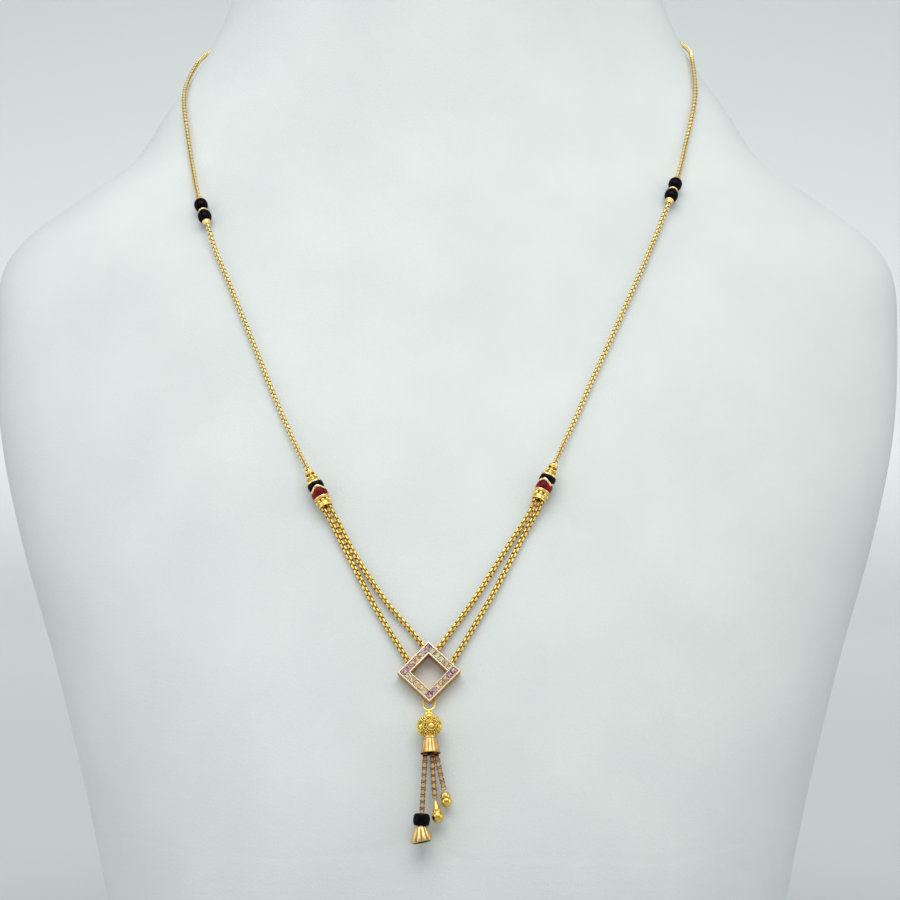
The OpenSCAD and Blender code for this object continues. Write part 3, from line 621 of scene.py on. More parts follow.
CLASP_LEN, CLASP_HOLE_R = 11, 0.92
clasp_r, clasp_half = CLASP_W / 2, CLASP_LEN / 2
clasp_side = [(clasp_r * math.sin(a), clasp_half - clasp_r + clasp_r * math.cos(a))
              for a in np.linspace(math.pi / 2, math.asin(CLASP_HOLE_R / clasp_r), 12)]
clasp_profile = [(0, 1 - clasp_half), (CLASP_HOLE_R, 1 - clasp_half)]
clasp_profile += [(r, -z) for r, z in reversed(clasp_side)] + clasp_side
clasp_profile += [(CLASP_HOLE_R, clasp_half - 1), (0, clasp_half - 1)]
clasp_at = (0, bust_row(NAPE_Z)[2] + clasp_r + 0.4, NAPE_Z)
clasp = placed(lathe("plain_clasp", clasp_profile), clasp_at, (0, 0, -1), (0, 1, 0), (1, 0, 0))
piece_from(clasp, "plain_clasp", yellow_gold, "clasp")

# The beads on the chain: two glossy black glass beads on each side, drilled for the chain, with a
# thin gold ring between them and a small gold cone at either end that holds them in place.
BEAD_W, BEAD_H, SPACER_W = 3.3, 2.7, 2.2
thread_r = CHAIN_W / 2 + 0.12
cone_w = SPACER_W - 0.1


def bead_profile(w, h, hole, edge=0.38):
    side = []
    for a in np.linspace(80, -80, 25):
        r = w / 2 - edge * h * (1 - math.cos(math.radians(a)) ** 0.65)
        side.append((max(r, hole), h / 2 * math.sin(math.radians(a)) / math.sin(math.radians(80))))
    return [(hole, h / 2)] + side + [(hole, -h / 2)]


def ring_profile(w, h, hole):
    return rounded([(hole, 0), (w / 2 - 0.12, 0), (w / 2, h * 0.3), (w / 2, h * 0.7),
                    (w / 2 - 0.12, h), (hole, h)], 0.08)


def cone_profile(w, h, hole):
    return rounded([(hole - 0.09, 0), (hole + 0.06, 0), (w / 2 - 0.06, 0.72 * h),
                    (w / 2, 0.86 * h), (w / 2 - 0.08, h), (hole, h)], 0.06)


black_glass, nodes = new_paint("black glass bead", place="TexCoord", cloud="TexNoise",
                               tint="ValToRGB", rough="MapRange")
set_up(nodes, shader={"Specular IOR Level": 0.05}, cloud={"Scale": 700},
       rough={"To Min": 0.1, "To Max": 0.2})
set_ramp(nodes["tint"], [(0, (0.0012, 0.001, 0.001)), (1, (0.003, 0.002, 0.002))])
join_up(black_glass.node_tree, nodes, """
    place.Object > cloud.Vector
    cloud.Fac > tint.Fac
    tint.Color > shader.Base Color
    cloud.Fac > rough.Value
    rough.Result > shader.Roughness""")
pale_gold = metal_finish("polished pale gold", (0.95, 0.76, 0.40), (0.85, 0.62, 0.26), 0.24, 0.25)
crimp_gold = metal_finish("satin gold of the crimps", (0.88, 0.62, 0.27), (0.78, 0.5, 0.18), 0.4, 0.3)

bead = bead_profile(BEAD_W, BEAD_H, thread_r + 0.1)
spacer = ring_profile(SPACER_W, 0.56, thread_r)
crimp, end_cone = cone_profile(cone_w, 1.25, thread_r), cone_profile(cone_w, 0.8, thread_r)
for side, points, route, start, up in (("left", left_points, LEFT, 9, 0.75),
                                       ("right", right_points, RIGHT, 10, 0)):
    facing = front_out(route[start][0], route[start][1])
    axes = shifted(axes_along(points[start + 2], points[start + 3], facing), up)
    flipped = (shifted(axes, 8.4)[0], axes[1], -axes[2], -axes[3])
    for name, profile, where, paint, slot, node in (
            ("cone_crimp_", crimp, shifted(axes, -0.25), crimp_gold, "gold", "crimp_"),
            ("black_bead_lower_", bead, shifted(axes, 2.45), black_glass, "black_bead", "bead_lower_"),
            ("spacer_ring_", spacer, shifted(axes, 4.02), pale_gold, "gold", "spacer_"),
            ("black_bead_upper_", bead, shifted(axes, 6.15), black_glass, "black_bead", "bead_upper_"),
            ("cone_ring_", end_cone, flipped, crimp_gold, "gold", "ring_upper_")):
        turned = placed(lathe(name + side, profile), *where)
        piece_from(turned, name + side, paint, node + side)


# The barrels: gold barrel beads with a flange, a ring of round lobes and a grained ring at each
# end, and a zigzag wall round the middle, all soldered in one; the bands between the walls are
# filled with black and with wine red enamel.
def ball_mesh(name, subdivisions):
    bm = bmesh.new()
    bmesh.ops.create_icosphere(bm, subdivisions=subdivisions, radius=1.0)
    mesh = bpy.data.meshes.new(name)
    bm.to_mesh(mesh)
    bm.free()
    mesh.polygons.foreach_set("use_smooth", [True] * len(mesh.polygons))
    return mesh


# A ring of equal balls round an axis, as lobes and grains are set.
ball_ring_tree, nodes = repeating_tree(
    "ring of balls", "Ball", "Balls",
    (("Base", "Geometry"), ("Number", "Int"), ("Ring radius", "Float"), ("Height", "Float"),
     ("Ball radius", "Float"), ("Flattened", "Float")),
    ring="GeometryNodeMeshCircle", up="ShaderNodeCombineXYZ", lift="GeometryNodeSetPosition",
    number="GeometryNodeInputIndex", turn="ShaderNodeMath", step="ShaderNodeMath",
    euler="ShaderNodeCombineXYZ", size="ShaderNodeCombineXYZ", wide="ShaderNodeMath")
set_up(nodes, turn={"operation": "MULTIPLY"}, step={"operation": "DIVIDE", 0: 2 * math.pi},
       wide={"operation": "MULTIPLY"})
join_up(ball_ring_tree, nodes, """
    given.Number > ring.Vertices
    given.Ring radius > ring.Radius
    given.Height > up.Z
    ring.Mesh > lift.Geometry
    up.Vector > lift.Offset
    given.Number > step.1
    number.Index > turn.0
    step.Value > turn.1
    turn.Value > euler.Z
    given.Ball radius > wide.0
    given.Flattened > wide.1
    given.Ball radius > size.X
    wide.Value > size.Y
    given.Ball radius > size.Z
    lift.Geometry > hang.Points
    euler.Vector > hang.Rotation
    size.Vector > hang.Scale""")
lobe_ball = bpy.data.objects.new("lobe ball", ball_mesh("lobe ball", 3))
grain_ball = bpy.data.objects.new("grain ball", ball_mesh("grain ball", 1))


def ball_ring(name, ball, number, radius, height, size, flattened=1.0):
    return grown(name, bpy.data.meshes.new(name + " base"), ball_ring_tree,
                 {"Ball": ball, "Number": number, "Ring radius": radius * MM, "Height": height * MM,
                  "Ball radius": size * MM, "Flattened": flattened, "Metal": yellow_gold})


def joined(name, meshes):
    """One mesh of several, with their materials dropped, for pieces that are soldered together."""
    bm = bmesh.new()
    for mesh in meshes:
        bm.from_mesh(mesh)
        bpy.data.meshes.remove(mesh)
    for face in bm.faces:
        face.material_index = 0
    whole = bpy.data.meshes.new(name)
    bm.to_mesh(whole)
    bm.free()
    return whole


BARREL_W, ZIG_POINTS, ZIG_RISE, CAP_LOBES = 3.8, 3, 0.42, 8
ZIG_STEPS = 24
barrel_r = BARREL_W / 2


def band_mesh(name, side, core_r, outer, z0, z1, low, high):
    """A band round the barrel whose rims may zigzag; outer gives how far it stands out of the radius."""
    steps = ZIG_STEPS * ZIG_POINTS
    rings = [(core_r, 0.0)] + [(barrel_r + proud, t) for t, proud in outer] + [(core_r, 1.0)]
    points = []
    for r, t in rings:
        for j in range(steps):
            a = math.radians(360 * j / steps - 90 - 15 * side)
            peaked = 2 * abs((j % ZIG_STEPS) - 12) / 12 - 1
            round_arch = math.cos(2 * math.pi * j / ZIG_STEPS)
            zig = ZIG_RISE * (peaked if side else 0.3 * peaked + 0.7 * round_arch)
            bottom, top = z0 + low * zig, z1 + high * zig
            points.append((r * math.cos(a), r * math.sin(a), bottom + t * (top - bottom)))
    return make_mesh(name, points, ring_faces(len(rings), steps), 50)


def enamel_finish(name, thin, thick, coat_rough):
    """Vitreous enamel: deep colour that clears where it is thin, under a clear glossy skin."""
    paint, nodes = new_paint(name, place="TexCoord", cloud="TexNoise", tint="ValToRGB", bump="Bump")
    set_up(nodes, shader={"Roughness": 0.22, "Specular IOR Level": 0.06, "Coat Weight": 0.02,
                          "Coat Roughness": coat_rough},
           cloud={"Scale": 620, "Detail": 3}, bump={"Strength": 0.3, "Distance": 0.00004})
    set_ramp(nodes["tint"], [(0.38, thick), (0.66, thin)])
    join_up(paint.node_tree, nodes, """
        place.Object > cloud.Vector
        cloud.Fac > tint.Fac
        tint.Color > shader.Base Color
        cloud.Fac > bump.Height
        bump.Normal > shader.Normal""")
    return paint


black_enamel = enamel_finish("black enamel", (0.003, 0.003, 0.004), (0.001, 0.001, 0.0012), 0.06)
red_enamel = enamel_finish("wine red enamel", (0.27, 0.014, 0.02), (0.09, 0.004, 0.005), 0.08)
WALL = [(0.0, -0.1), (0.1, -0.03), (0.3, 0.02), (0.5, 0.04), (0.7, 0.02), (0.9, -0.03), (1.0, -0.1)]
CROWN = [(0.0, -0.16), (0.06, -0.09), (0.3, -0.02), (0.5, 0.0), (0.7, -0.02), (0.94, -0.09), (1.0, -0.16)]
WALL_HALF, ENAMEL_FROM, ENAMEL_GAP = 0.31, 0.3, 0.01

for s, side in enumerate(("left", "right")):
    axes = axes_along(barrel_a[s], barrel_b[s], barrel_out[s])
    tall = float(np.linalg.norm(barrel_b[s] - barrel_a[s]))
    hi, mid, lo = 0.65 * tall, 0.48 * tall, 0.26 * tall
    sunk_by = [(0.52, 1.05), (0.48, 0), (0.24, 0), (0.17, 0.15), (0.22, 0.32), (0.34, 0.48),
               (0.36, 1.15), (0.6, 1.3), (0.6, lo - 0.75), (0.34, lo - 0.6), (0.28, lo - 0.45),
               (0.26, lo - 0.33), (0.05, lo - 0.27), (0.05, lo), (0.42, lo), (0.42, hi), (0.05, hi),
               (0.05, hi + 0.27), (0.26, hi + 0.33), (0.28, hi + 0.45), (0.4, hi + 0.65),
               (0.7, hi + 0.85), (0.9, tall - 1), (0.95, tall - 0.6), (0.85, tall - 0.45),
               (0.85, tall - 0.12), (0.92, tall)]
    body = [(0, 1.05)] + [(barrel_r - sunk, z) for sunk, z in sunk_by]
    body += [(0.72, tall), (0.72, tall - 1.1), (0, tall - 1.1)]
    gold_parts = [lathe("barrel body", rounded(body, 0.07)),
                  band_mesh("zigzag wall", s, barrel_r - 0.5, WALL, mid - WALL_HALF, mid + WALL_HALF, 1, 1)]
    for name, ball, number, sunk, height, size, flattened in (
            ("lower lobes", lobe_ball, CAP_LOBES, 0.57, 0.56 * lo, 0.5, 0.95),
            ("upper lobes", lobe_ball, CAP_LOBES, 0.88, 0.5 * (hi + tall) - 0.1, 0.43, 0.98),
            ("lower grains", grain_ball, 34, 0.24, lo - 0.42, 0.13, 1.0),
            ("upper grains", grain_ball, 34, 0.24, hi + 0.42, 0.13, 1.0),
            ("collar grains", grain_ball, 20, 0.86, tall - 0.72, 0.12, 1.0)):
        gold_parts.append(ball_ring(name, ball, number, barrel_r - sunk, height, size, flattened))
    whole = joined("gold_barrel_" + side, gold_parts)

    # Painted shade on the body's sunk ground behind the lobes at each end.
    def between_lobes(p):
        r, z = np.hypot(p[:, 0], p[:, 1]), p[:, 2]
        low = np.where((z > 0.45) & (z < lo - 0.5), (barrel_r - 0.28 - r) / 0.22, 0)
        high = np.where((z > hi + 0.55) & (z < tall - 0.85), (barrel_r - 0.6 - r) / 0.22, 0)
        return 0.95 * np.clip(np.maximum(low, high), 0, 1)

    paint_shade(whole, between_lobes)
    whole.materials.append(yellow_gold)
    whole.materials.append(pale_gold)
    for face in whole.polygons:
        x, y, z = face.center / MM
        if math.hypot(x, y) > barrel_r - 0.36 and lo - 0.33 < z < hi + 0.33:
            face.material_index = 1
    piece_from(placed(whole, *axes), "gold_barrel_" + side, None, "barrel_" + side)
    for name, paint, bottom, top, low, high in (
            ("black_enamel", black_enamel, mid + ENAMEL_FROM, hi - ENAMEL_GAP, 1, 0),
            ("red_enamel", red_enamel, lo + ENAMEL_GAP, mid - ENAMEL_FROM, 0, 1)):
        piece_name = name + "_band_" + side
        band = band_mesh(piece_name, s, barrel_r - 0.4, CROWN, bottom, top, low, high)
        piece_from(placed(band, *axes), piece_name, paint, name + "_" + side)

# The diamond frame: a square frame of pale gold that stands on its corner, cast with a sunk
# channel for the stones, polished rims and small grains raised from the rims that hold the stones.
STONE_W, CHANNEL_W = 1.25, 1.36
mid_line = (FRAME_SIDE + FRAME_SIDE - 2 * BAND_W) / 4
stone_pitch = mid_line / 3
outer, inner = FRAME_SIDE / 2, FRAME_SIDE / 2 - BAND_W
outer_edge, inner_edge = mid_line + CHANNEL_W / 2, mid_line - CHANNEL_W / 2
trough = rounded([(inner, -FRAME_T), (outer, -FRAME_T), (outer, -0.12), (outer - 0.1, 0),
                  (outer_edge + 0.07, 0), (outer_edge, -0.16), (outer_edge, -0.8), (inner_edge, -0.8),
                  (inner_edge, -0.16), (inner_edge - 0.07, 0), (inner + 0.1, 0), (inner, -0.12)], 0.04, 2)
corners = [corner for r, z in trough for corner in ((r, -r, z), (r, r, z), (-r, r, z), (-r, -r, z))]
frame_parts = [make_mesh("cast frame", corners, ring_faces(len(trough), 4), 20)]
for k in range(4):
    c, s = math.cos(k * math.pi / 2), math.sin(k * math.pi / 2)
    for q in range(-3, 3):
        along_side = (q + 0.5) * stone_pitch
        for r in (outer_edge - 0.02, inner_edge + 0.02):
            if abs(along_side) < r:
                x, y = r * c - along_side * s, r * s + along_side * c
                grain = grain_ball.data.copy()
                grain.transform(Matrix.Translation((x * MM, y * MM, -0.03 * MM)) @ Matrix.Scale(0.15 * MM, 4))
                frame_parts.append(grain)
on_corner = Matrix.Rotation(math.pi / 4, 4, "Z")
frame_mesh = joined("pale_gold_frame", frame_parts)
frame_mesh.transform(on_corner)
frame_gold = metal_finish("pale gold of the frame", (0.95, 0.82, 0.60), (0.88, 0.72, 0.48), 0.34, 0.25)
satin_gold_painted_shade = metal_finish("satin gold of the walls", (0.78, 0.38, 0.05), (0.56, 0.23, 0.02), 0.4, 0.4)
frame_mesh.materials.append(frame_gold)
frame_mesh.materials.append(satin_gold_painted_shade)
# The walls and the channel floor take a deeper, more orange copy of the frame's gold: painted shade and
# painted reflected gold light, on a rougher satin finish.
for face in frame_mesh.polygons:
    is_wall = abs(face.normal.z) < 0.3 and face.area > 2e-6
    if is_wall or face.center.z < -0.5 * MM:
        face.material_index = 1
frame_axes = (frame_o, frame_u, frame_v, frame_w)
piece_from(placed(frame_mesh, *frame_axes), "pale_gold_frame", None, "diamond_frame")


# The stones: seven square cut stones a side, shared at the corners, purple near the corners and
# champagne or clear between them, set close together in the channel. Each facet has its own
# painted brightness: painted glints that stand in for the light that comes back from inside a cut stone.
def stone_finish(name, deep, middle, light):
    paint, nodes = new_paint(name, facet="Attribute", place="TexCoord", cloud="TexNoise",
                             both="Math", tint="ValToRGB")
    set_up(nodes, shader={"Roughness": 0.05, "IOR": 1.7, "Transmission Weight": 0.25,
                          "Coat Weight": 0.3, "Coat Roughness": 0.02},
           facet={"attribute_name": "glint"}, cloud={"Scale": 2400},
           both={"operation": "MULTIPLY_ADD", 1: 0.3})
    set_ramp(nodes["tint"], [(0.15, deep), (0.6, middle), (1.0, light)])
    join_up(paint.node_tree, nodes, """
        place.Object > cloud.Vector
        cloud.Fac > both.0
        facet.Fac > both.2
        both.Value > tint.Fac
        tint.Color > shader.Base Color""")
    return paint


stone_paints = {kind: stone_finish(kind + " stone", *colours) for kind, colours in (
    ("plum", ((0.18, 0.06, 0.09), (0.50, 0.27, 0.35), (1.0, 0.84, 0.88))),
    ("mauve", ((0.20, 0.07, 0.04), (0.62, 0.36, 0.27), (1.0, 0.88, 0.72))),
    ("champagne", ((0.28, 0.14, 0.03), (0.80, 0.54, 0.25), (1.0, 0.92, 0.68))),
    ("clear", ((0.19, 0.13, 0.04), (0.72, 0.57, 0.30), (1.0, 0.95, 0.76))))}
STONES = ("plum clear clear clear clear clear plum plum mauve champagne champagne plum "
          "plum clear champagne champagne clear clear plum plum mauve champagne mauve plum").split()
facet_lights = np.random.default_rng(11)


def cut_stone(name):
    """A square cut stone with cut corners: culet, stepped pavilion, girdle, stepped crown and table."""
    rings = [(0.14, -0.62), (0.62 * STONE_W, -0.42), (STONE_W, -0.24), (STONE_W, -0.12),
             (0.84 * STONE_W, -0.01), (0.62 * STONE_W, 0.08)]
    points, n = [], len(rings)
    for wide, z in rings:
        h, c = wide / 2, 0.1 * wide
        points += [(h, -h + c, z), (h, h - c, z), (h - c, h, z), (-h + c, h, z),
                   (-h, h - c, z), (-h, -h + c, z), (-h + c, -h, z), (h - c, -h, z)]
    faces = ring_faces(n, 8, False)
    faces.append(tuple(range(7, -1, -1)))
    points.append((0, 0, 0.08))
    faces += [(8 * (n - 1) + j, 8 * (n - 1) + (j + 1) % 8, 8 * n) for j in range(8)]
    mesh = make_mesh(name, points, faces, 5)
    mesh.polygons.foreach_set("use_smooth", [False] * len(mesh.polygons))
    # Painted glints: a random painted brightness for each facet.
    glint = mesh.attributes.new("glint", "FLOAT", "FACE")
    glint.data.foreach_set("value", 0.02 + 0.85 * facet_lights.random(len(mesh.polygons)) ** 1.2)
    return mesh


for i, kind in enumerate(STONES):
    number, q = "%02d" % (i + 1), i % 6 * stone_pitch
    x, y = ((mid_line, mid_line - q), (mid_line - q, -mid_line),
            (-mid_line, -mid_line + q), (-mid_line + q, mid_line))[i // 6]
    stone = cut_stone(kind + "_stone_" + number)
    stone.transform(on_corner @ Matrix.Translation((x * MM, y * MM, 0)))
    piece_from(placed(stone, *frame_axes), stone.name, stone_paints[kind], "stone_" + number)

# The ball drop: a wire loop through the frame's lower corner, a small bead, and an oblate ball
# with six polished domes in grained rings, on a stem with the bars that the tassel hangs from, all
# of yellow gold and soldered in one.
BALL_W, BALL_H, CONE_W, CONE_H, CONE_FLUTES = 5.7, 4.2, 4.5, 3.2, 12
drop_foot, drop_head = on_front((-3.5, 73.7, 3.05)), on_front((-3.9, 82.8, 3.05))
drop_out = front_out(-3.7, 78)
drop_axes = axes_along(drop_foot, drop_head, drop_out)
_, drop_u, drop_v, drop_w = drop_axes
ball_z, ball_r = CONE_H + 0.75 + BALL_H / 2, BALL_W / 2 - 0.25
bead_z = ball_z + BALL_H / 2 + 0.75


def in_drop(p):
    return drop_foot + p[0] * drop_u + p[1] * drop_v + p[2] * drop_w


WIRE_SIDES = 12


def wire_mesh(name, points, outs, r, closed):
    """A round wire through points, each with the direction that faces out."""
    n, rings, sides = len(points), [], WIRE_SIDES
    for i in range(n):
        before, after = ((i - 1) % n, (i + 1) % n) if closed else (max(i - 1, 0), min(i + 1, n - 1))
        t = unit(points[after] - points[before])
        u = unit(outs[i] - np.dot(outs[i], t) * t)
        v = np.cross(t, u)
        rings.append([points[i] + r * (math.cos(q) * u + math.sin(q) * v)
                      for q in np.linspace(0, 2 * math.pi, sides, endpoint=False)])
    faces = ring_faces(n, sides, closed)
    if not closed:
        faces += [tuple(range(sides - 1, -1, -1)), tuple((n - 1) * sides + j for j in range(sides))]
    return make_mesh(name, np.concatenate(rings).tolist(), faces, 50)


LOOP = [(-0.7, 0), (0, 0), (0.7, 0), (1.15, 0.09), (1.29, 0.27), (1.28, 0.48), (1.1, 0.71), (0.68, 0.9),
        (0, 1.02), (-0.68, 0.9), (-1.1, 0.71), (-1.28, 0.48), (-1.29, 0.27), (-1.15, 0.09)]
hook_a, hook_b = in_frame((0, -5.85, -1.5)), in_drop((0, 0, bead_z + 0.75))
loop_x = unit(drop_u + frame_u)
loop_out = unit(np.cross(loop_x, hook_b - hook_a))
loop_points = [hook_a + y * (hook_b - hook_a) + x * loop_x for x, y in LOOP]
LOOP_STEPS = 5
loop_line, _ = smooth_path(np.array(loop_points[-2:] + loop_points + loop_points[:2]),
                           np.array([loop_out] * (len(LOOP) + 4)), LOOP_STEPS)
loop_line = loop_line[2 * LOOP_STEPS:(2 + len(LOOP)) * LOOP_STEPS]
stem = [(0, CONE_H - 1.1), (0.3, CONE_H - 1.1), (0.3, CONE_H + 0.15), (0.95, CONE_H + 0.15),
        (1.0, CONE_H + 0.35), (0.95, CONE_H + 0.7)]
stem += [(ball_r * math.cos(math.radians(a)) ** 0.62, ball_z + BALL_H / 2 * math.sin(math.radians(a)))
         for a in np.linspace(-73, 73, 25)]
stem += [(r, bead_z + z) for r, z in ((1.0, -0.78), (1.0, -0.6), (0.72, -0.5), (0.88, -0.4), (0.96, -0.2),
                                      (0.97, 0.1), (0.85, 0.35), (0.6, 0.5), (0, 0.55))]
drop_parts = [placed(lathe("ball and stem", rounded(stem, 0.06)), *drop_axes)]
drop_parts.append(wire_mesh("wire loop", loop_line, [loop_out] * len(loop_line), 0.23, True))
waist = in_drop((0, 0, ball_z - 0.3))
look_ways = []
for k in range(6):
    turn = math.radians(60 * k - 80)
    look = math.cos(turn) * drop_u + math.sin(turn) * drop_v
    across = np.cross(drop_w, look)
    look_ways.append(look)
    dome = lobe_ball.data.copy()
    dome.transform(Matrix.Scale(0.75 * MM, 4))
    drop_parts.append(placed(dome, waist + (ball_r - 0.5) * look, across, drop_w, look))
    for number, radius, depth, size in ((22, 1.02, 0.2, 0.17), (18, 0.74, 0.06, 0.1)):
        grains = ball_ring("ring grains", grain_ball, number, radius, 0, size)
        drop_parts.append(placed(grains, waist + (ball_r - depth) * look, across, drop_w, look))

# A small ball on every point of a mesh, as fine granulation is fused on.
grain_tree, nodes = repeating_tree(
    "field of grains", "Ball", "Grains",
    (("Points", "Geometry"), ("Smallest", "Float"), ("Largest", "Float")),
    size="FunctionNodeRandomValue")
set_up(nodes, size={"data_type": "FLOAT", "Seed": 7})
join_up(grain_tree, nodes, """
    given.Smallest > size.2
    given.Largest > size.3
    given.Points > hang.Points
    size.1 > hang.Scale""")

BALL_GRAINS = 400
grain_spots = []
for i in range(BALL_GRAINS):
    height, turn = 1 - 2 * (i + 0.5) / BALL_GRAINS, i * math.pi * (3 - math.sqrt(5))
    if abs(height) > 0.93:
        continue
    wide = math.sqrt(1 - height * height) ** 0.62 * ball_r
    spot = in_drop((wide * math.cos(turn), wide * math.sin(turn), ball_z + BALL_H / 2 * height))
    facing = [look for look in look_ways if np.dot(spot - waist, look) > 0]
    if all(np.linalg.norm(np.cross(spot - waist, look)) > 1.14 for look in facing):
        grain_spots.append((spot * MM).tolist())
grain_field = bpy.data.meshes.new("grain field")
grain_field.from_pydata(grain_spots, [], [])
drop_parts.append(grown("grain field", grain_field, grain_tree,
                        {"Ball": grain_ball, "Smallest": 0.17 * MM, "Largest": 0.27 * MM,
                         "Metal": yellow_gold}))
for a, b, r in (((0, 0, CONE_H - 0.9), (0, -0.3, 0.62), 0.14),
                ((-1.5, -0.3, 0.62), (1.5, -0.3, 0.62), 0.12),
                ((0, 0, CONE_H - 0.9), (-0.45, 0.85, 0.72), 0.12),
                ((-0.57, 0.85, 0.62), (0.75, 0.85, 0.62), 0.12)):
    a, b = in_drop(a), in_drop(b)
    side_way = unit(np.cross(b - a, (0.31, 0.52, 0.8)))
    drop_parts.append(wire_mesh("bar", np.array([a, (a + b) / 2, b]), [side_way] * 3, r, False))
gold_drop = joined("gold_ball_drop", drop_parts)


def under_grains(p):
    """Painted shade on the ball's ground between the grains and on the bars inside the cone."""
    p = p - drop_foot
    z = p @ drop_w
    r = np.linalg.norm(p - np.outer(z, drop_w), axis=1)
    level = np.clip((z - ball_z) / (BALL_H / 2), -1, 1)
    ground = ball_r * np.sqrt(1 - level * level) ** 0.62
    on_ball = np.where(np.abs(z - ball_z) < 0.46 * BALL_H, 0.85 * (1 - (r - ground) / 0.1), 0)
    return np.maximum(on_ball, np.where(z < CONE_H - 0.3, 0.9, 0))


ball_gold = metal_finish("gold of the ball drop", (1.0, 0.80, 0.24), (1.0, 0.70, 0.13), 0.26, 0.3,
                         (0.22, 0.10, 0.01))
piece_from(paint_shade(gold_drop, under_grains), "gold_ball_drop", ball_gold, "filigree_drop")


# The cone: a thin fluted cap of pale gold pressed from sheet, open below. It sits on the stem of
# the ball drop, over the top of the tassel.
FLUTE_STEPS = 12


def fluted_mesh(name, profile, flutes):
    """A shell from a closed profile of radius, height and depth of flute."""
    steps = flutes * FLUTE_STEPS
    points = []
    for r, z, deep in profile:
        for j in range(steps):
            a = 2 * math.pi * j / steps
            rr = r - deep * (1 - abs(math.cos(flutes * a / 2)) ** 0.7)
            points.append((rr * math.cos(a), rr * math.sin(a), z))
    return make_mesh(name, points, ring_faces(len(profile), steps), 40)


cone_r = CONE_W / 2
cone_shell = [(cone_r - 0.23, 0, 0), (cone_r - 0.03, 0, 0.03), (cone_r, 0.05, 0.03),
              (cone_r - 0.02, 0.13, 0.03), (cone_r - 0.09, 0.2, 0.07), (cone_r - 0.13, 0.34, 0.11),
              (cone_r - 0.25, 0.9, 0.15), (cone_r - 0.47, 2.0, 0.14), (cone_r - 0.66, CONE_H - 0.2, 0.1),
              (cone_r - 0.7, CONE_H - 0.05, 0.04), (cone_r - 0.78, CONE_H, 0), (0.5, CONE_H, 0),
              (0.5, CONE_H - 0.4, 0), (cone_r - 1.15, CONE_H - 0.4, 0)]


def inside_cone(p):
    """Painted shade inside the cone and down in its flutes."""
    r, z = np.hypot(p[:, 0], p[:, 1]), p[:, 2]
    skirt = np.interp(z, [0.2, 0.34, 0.9, 2.0, 3.0],
                      [cone_r - 0.09, cone_r - 0.13, cone_r - 0.25, cone_r - 0.47, cone_r - 0.66])
    folds = np.where((z > 0.3) & (z < CONE_H - 0.1), 0.6 * (skirt - r - 0.03) / 0.12, 0)
    return np.where((r < cone_r - 0.2 - 0.33 * z) & (z < CONE_H - 0.3), 0.97, folds)


sheet_gold = metal_finish("gold of pressed sheet", (0.72, 0.48, 0.20), (0.56, 0.35, 0.12), 0.42, 0.3,
                          (0.05, 0.018, 0.004))
cone = placed(paint_shade(fluted_mesh("fluted_gold_cone", cone_shell, CONE_FLUTES), inside_cone), *drop_axes)
piece_from(cone, "fluted_gold_cone", sheet_gold, "fluted_cone")

# The tassel: three lengths of larger box links in yellow gold, folded from flat strip, which hang
# from the bars inside the cone. A thinner link ends each length.
LINK_W, LINK_PITCH = 1.12, 0.735
TOPS = [(-1.1, -0.3), (0.25, 0.85), (1.1, -0.3)]
TIPS = [(-5.5, 58.1, 2.9), (-2.6, 64.8, 2.1), (-0.75, 66.9, 2.1)]
tassel_gold = metal_finish("gold of the tassel", (1.0, 0.68, 0.31), (0.95, 0.56, 0.20), 0.26, 0.3,
                           (0.17, 0.045, 0.004))
tassel_link = box_link("tassel box link", LINK_W, 1.34, 0.13, 0.82, 0.24, 0.9, 0.85, 0.55)
thin_link = box_link("last tassel link", LINK_W, LINK_W, 0.14, 0.4, 0.22, 0.8)
tassel_axes, tassel_count = [], []
for k, name in enumerate(("left", "middle", "right")):
    top, tip = in_drop((TOPS[k][0], TOPS[k][1], 0.42)), on_front(TIPS[k])
    axes = axes_along(top, tip, drop_out)
    count = int(round(np.linalg.norm(tip - top) / LINK_PITCH))
    tassel_axes.append(axes)
    tassel_count.append(count)
    run = np.array([top + i * LINK_PITCH * axes[3] for i in range(count)])
    mesh = chain_mesh("tassel links", run, np.array([axes[2]] * count), tassel_link, count,
                      tassel_gold, 1, False)
    o, u, v, w = shifted(axes, count * LINK_PITCH)
    last = placed(thin_link.data.copy(), o, *((v, -u) if count % 2 == 0 else (u, v)), w)
    links = joined("tassel_links_" + name, [mesh, last])
    # Painted shadow of the cone: the first links below it are darkened, over their own painted shade.
    hollow = links.attributes["hollow"].data
    shade_level, points = np.empty(len(links.vertices)), np.empty(3 * len(links.vertices))
    hollow.foreach_get("value", shade_level)
    links.vertices.foreach_get("co", points)
    down = (points.reshape(-1, 3) / MM - top) @ axes[3]
    hollow.foreach_set("value", np.maximum(shade_level, np.clip((2.1 - down) / 0.6, 0, 0.88)))
    piece_from(links, "tassel_links_" + name, tassel_gold, "tassel_chain_" + name)

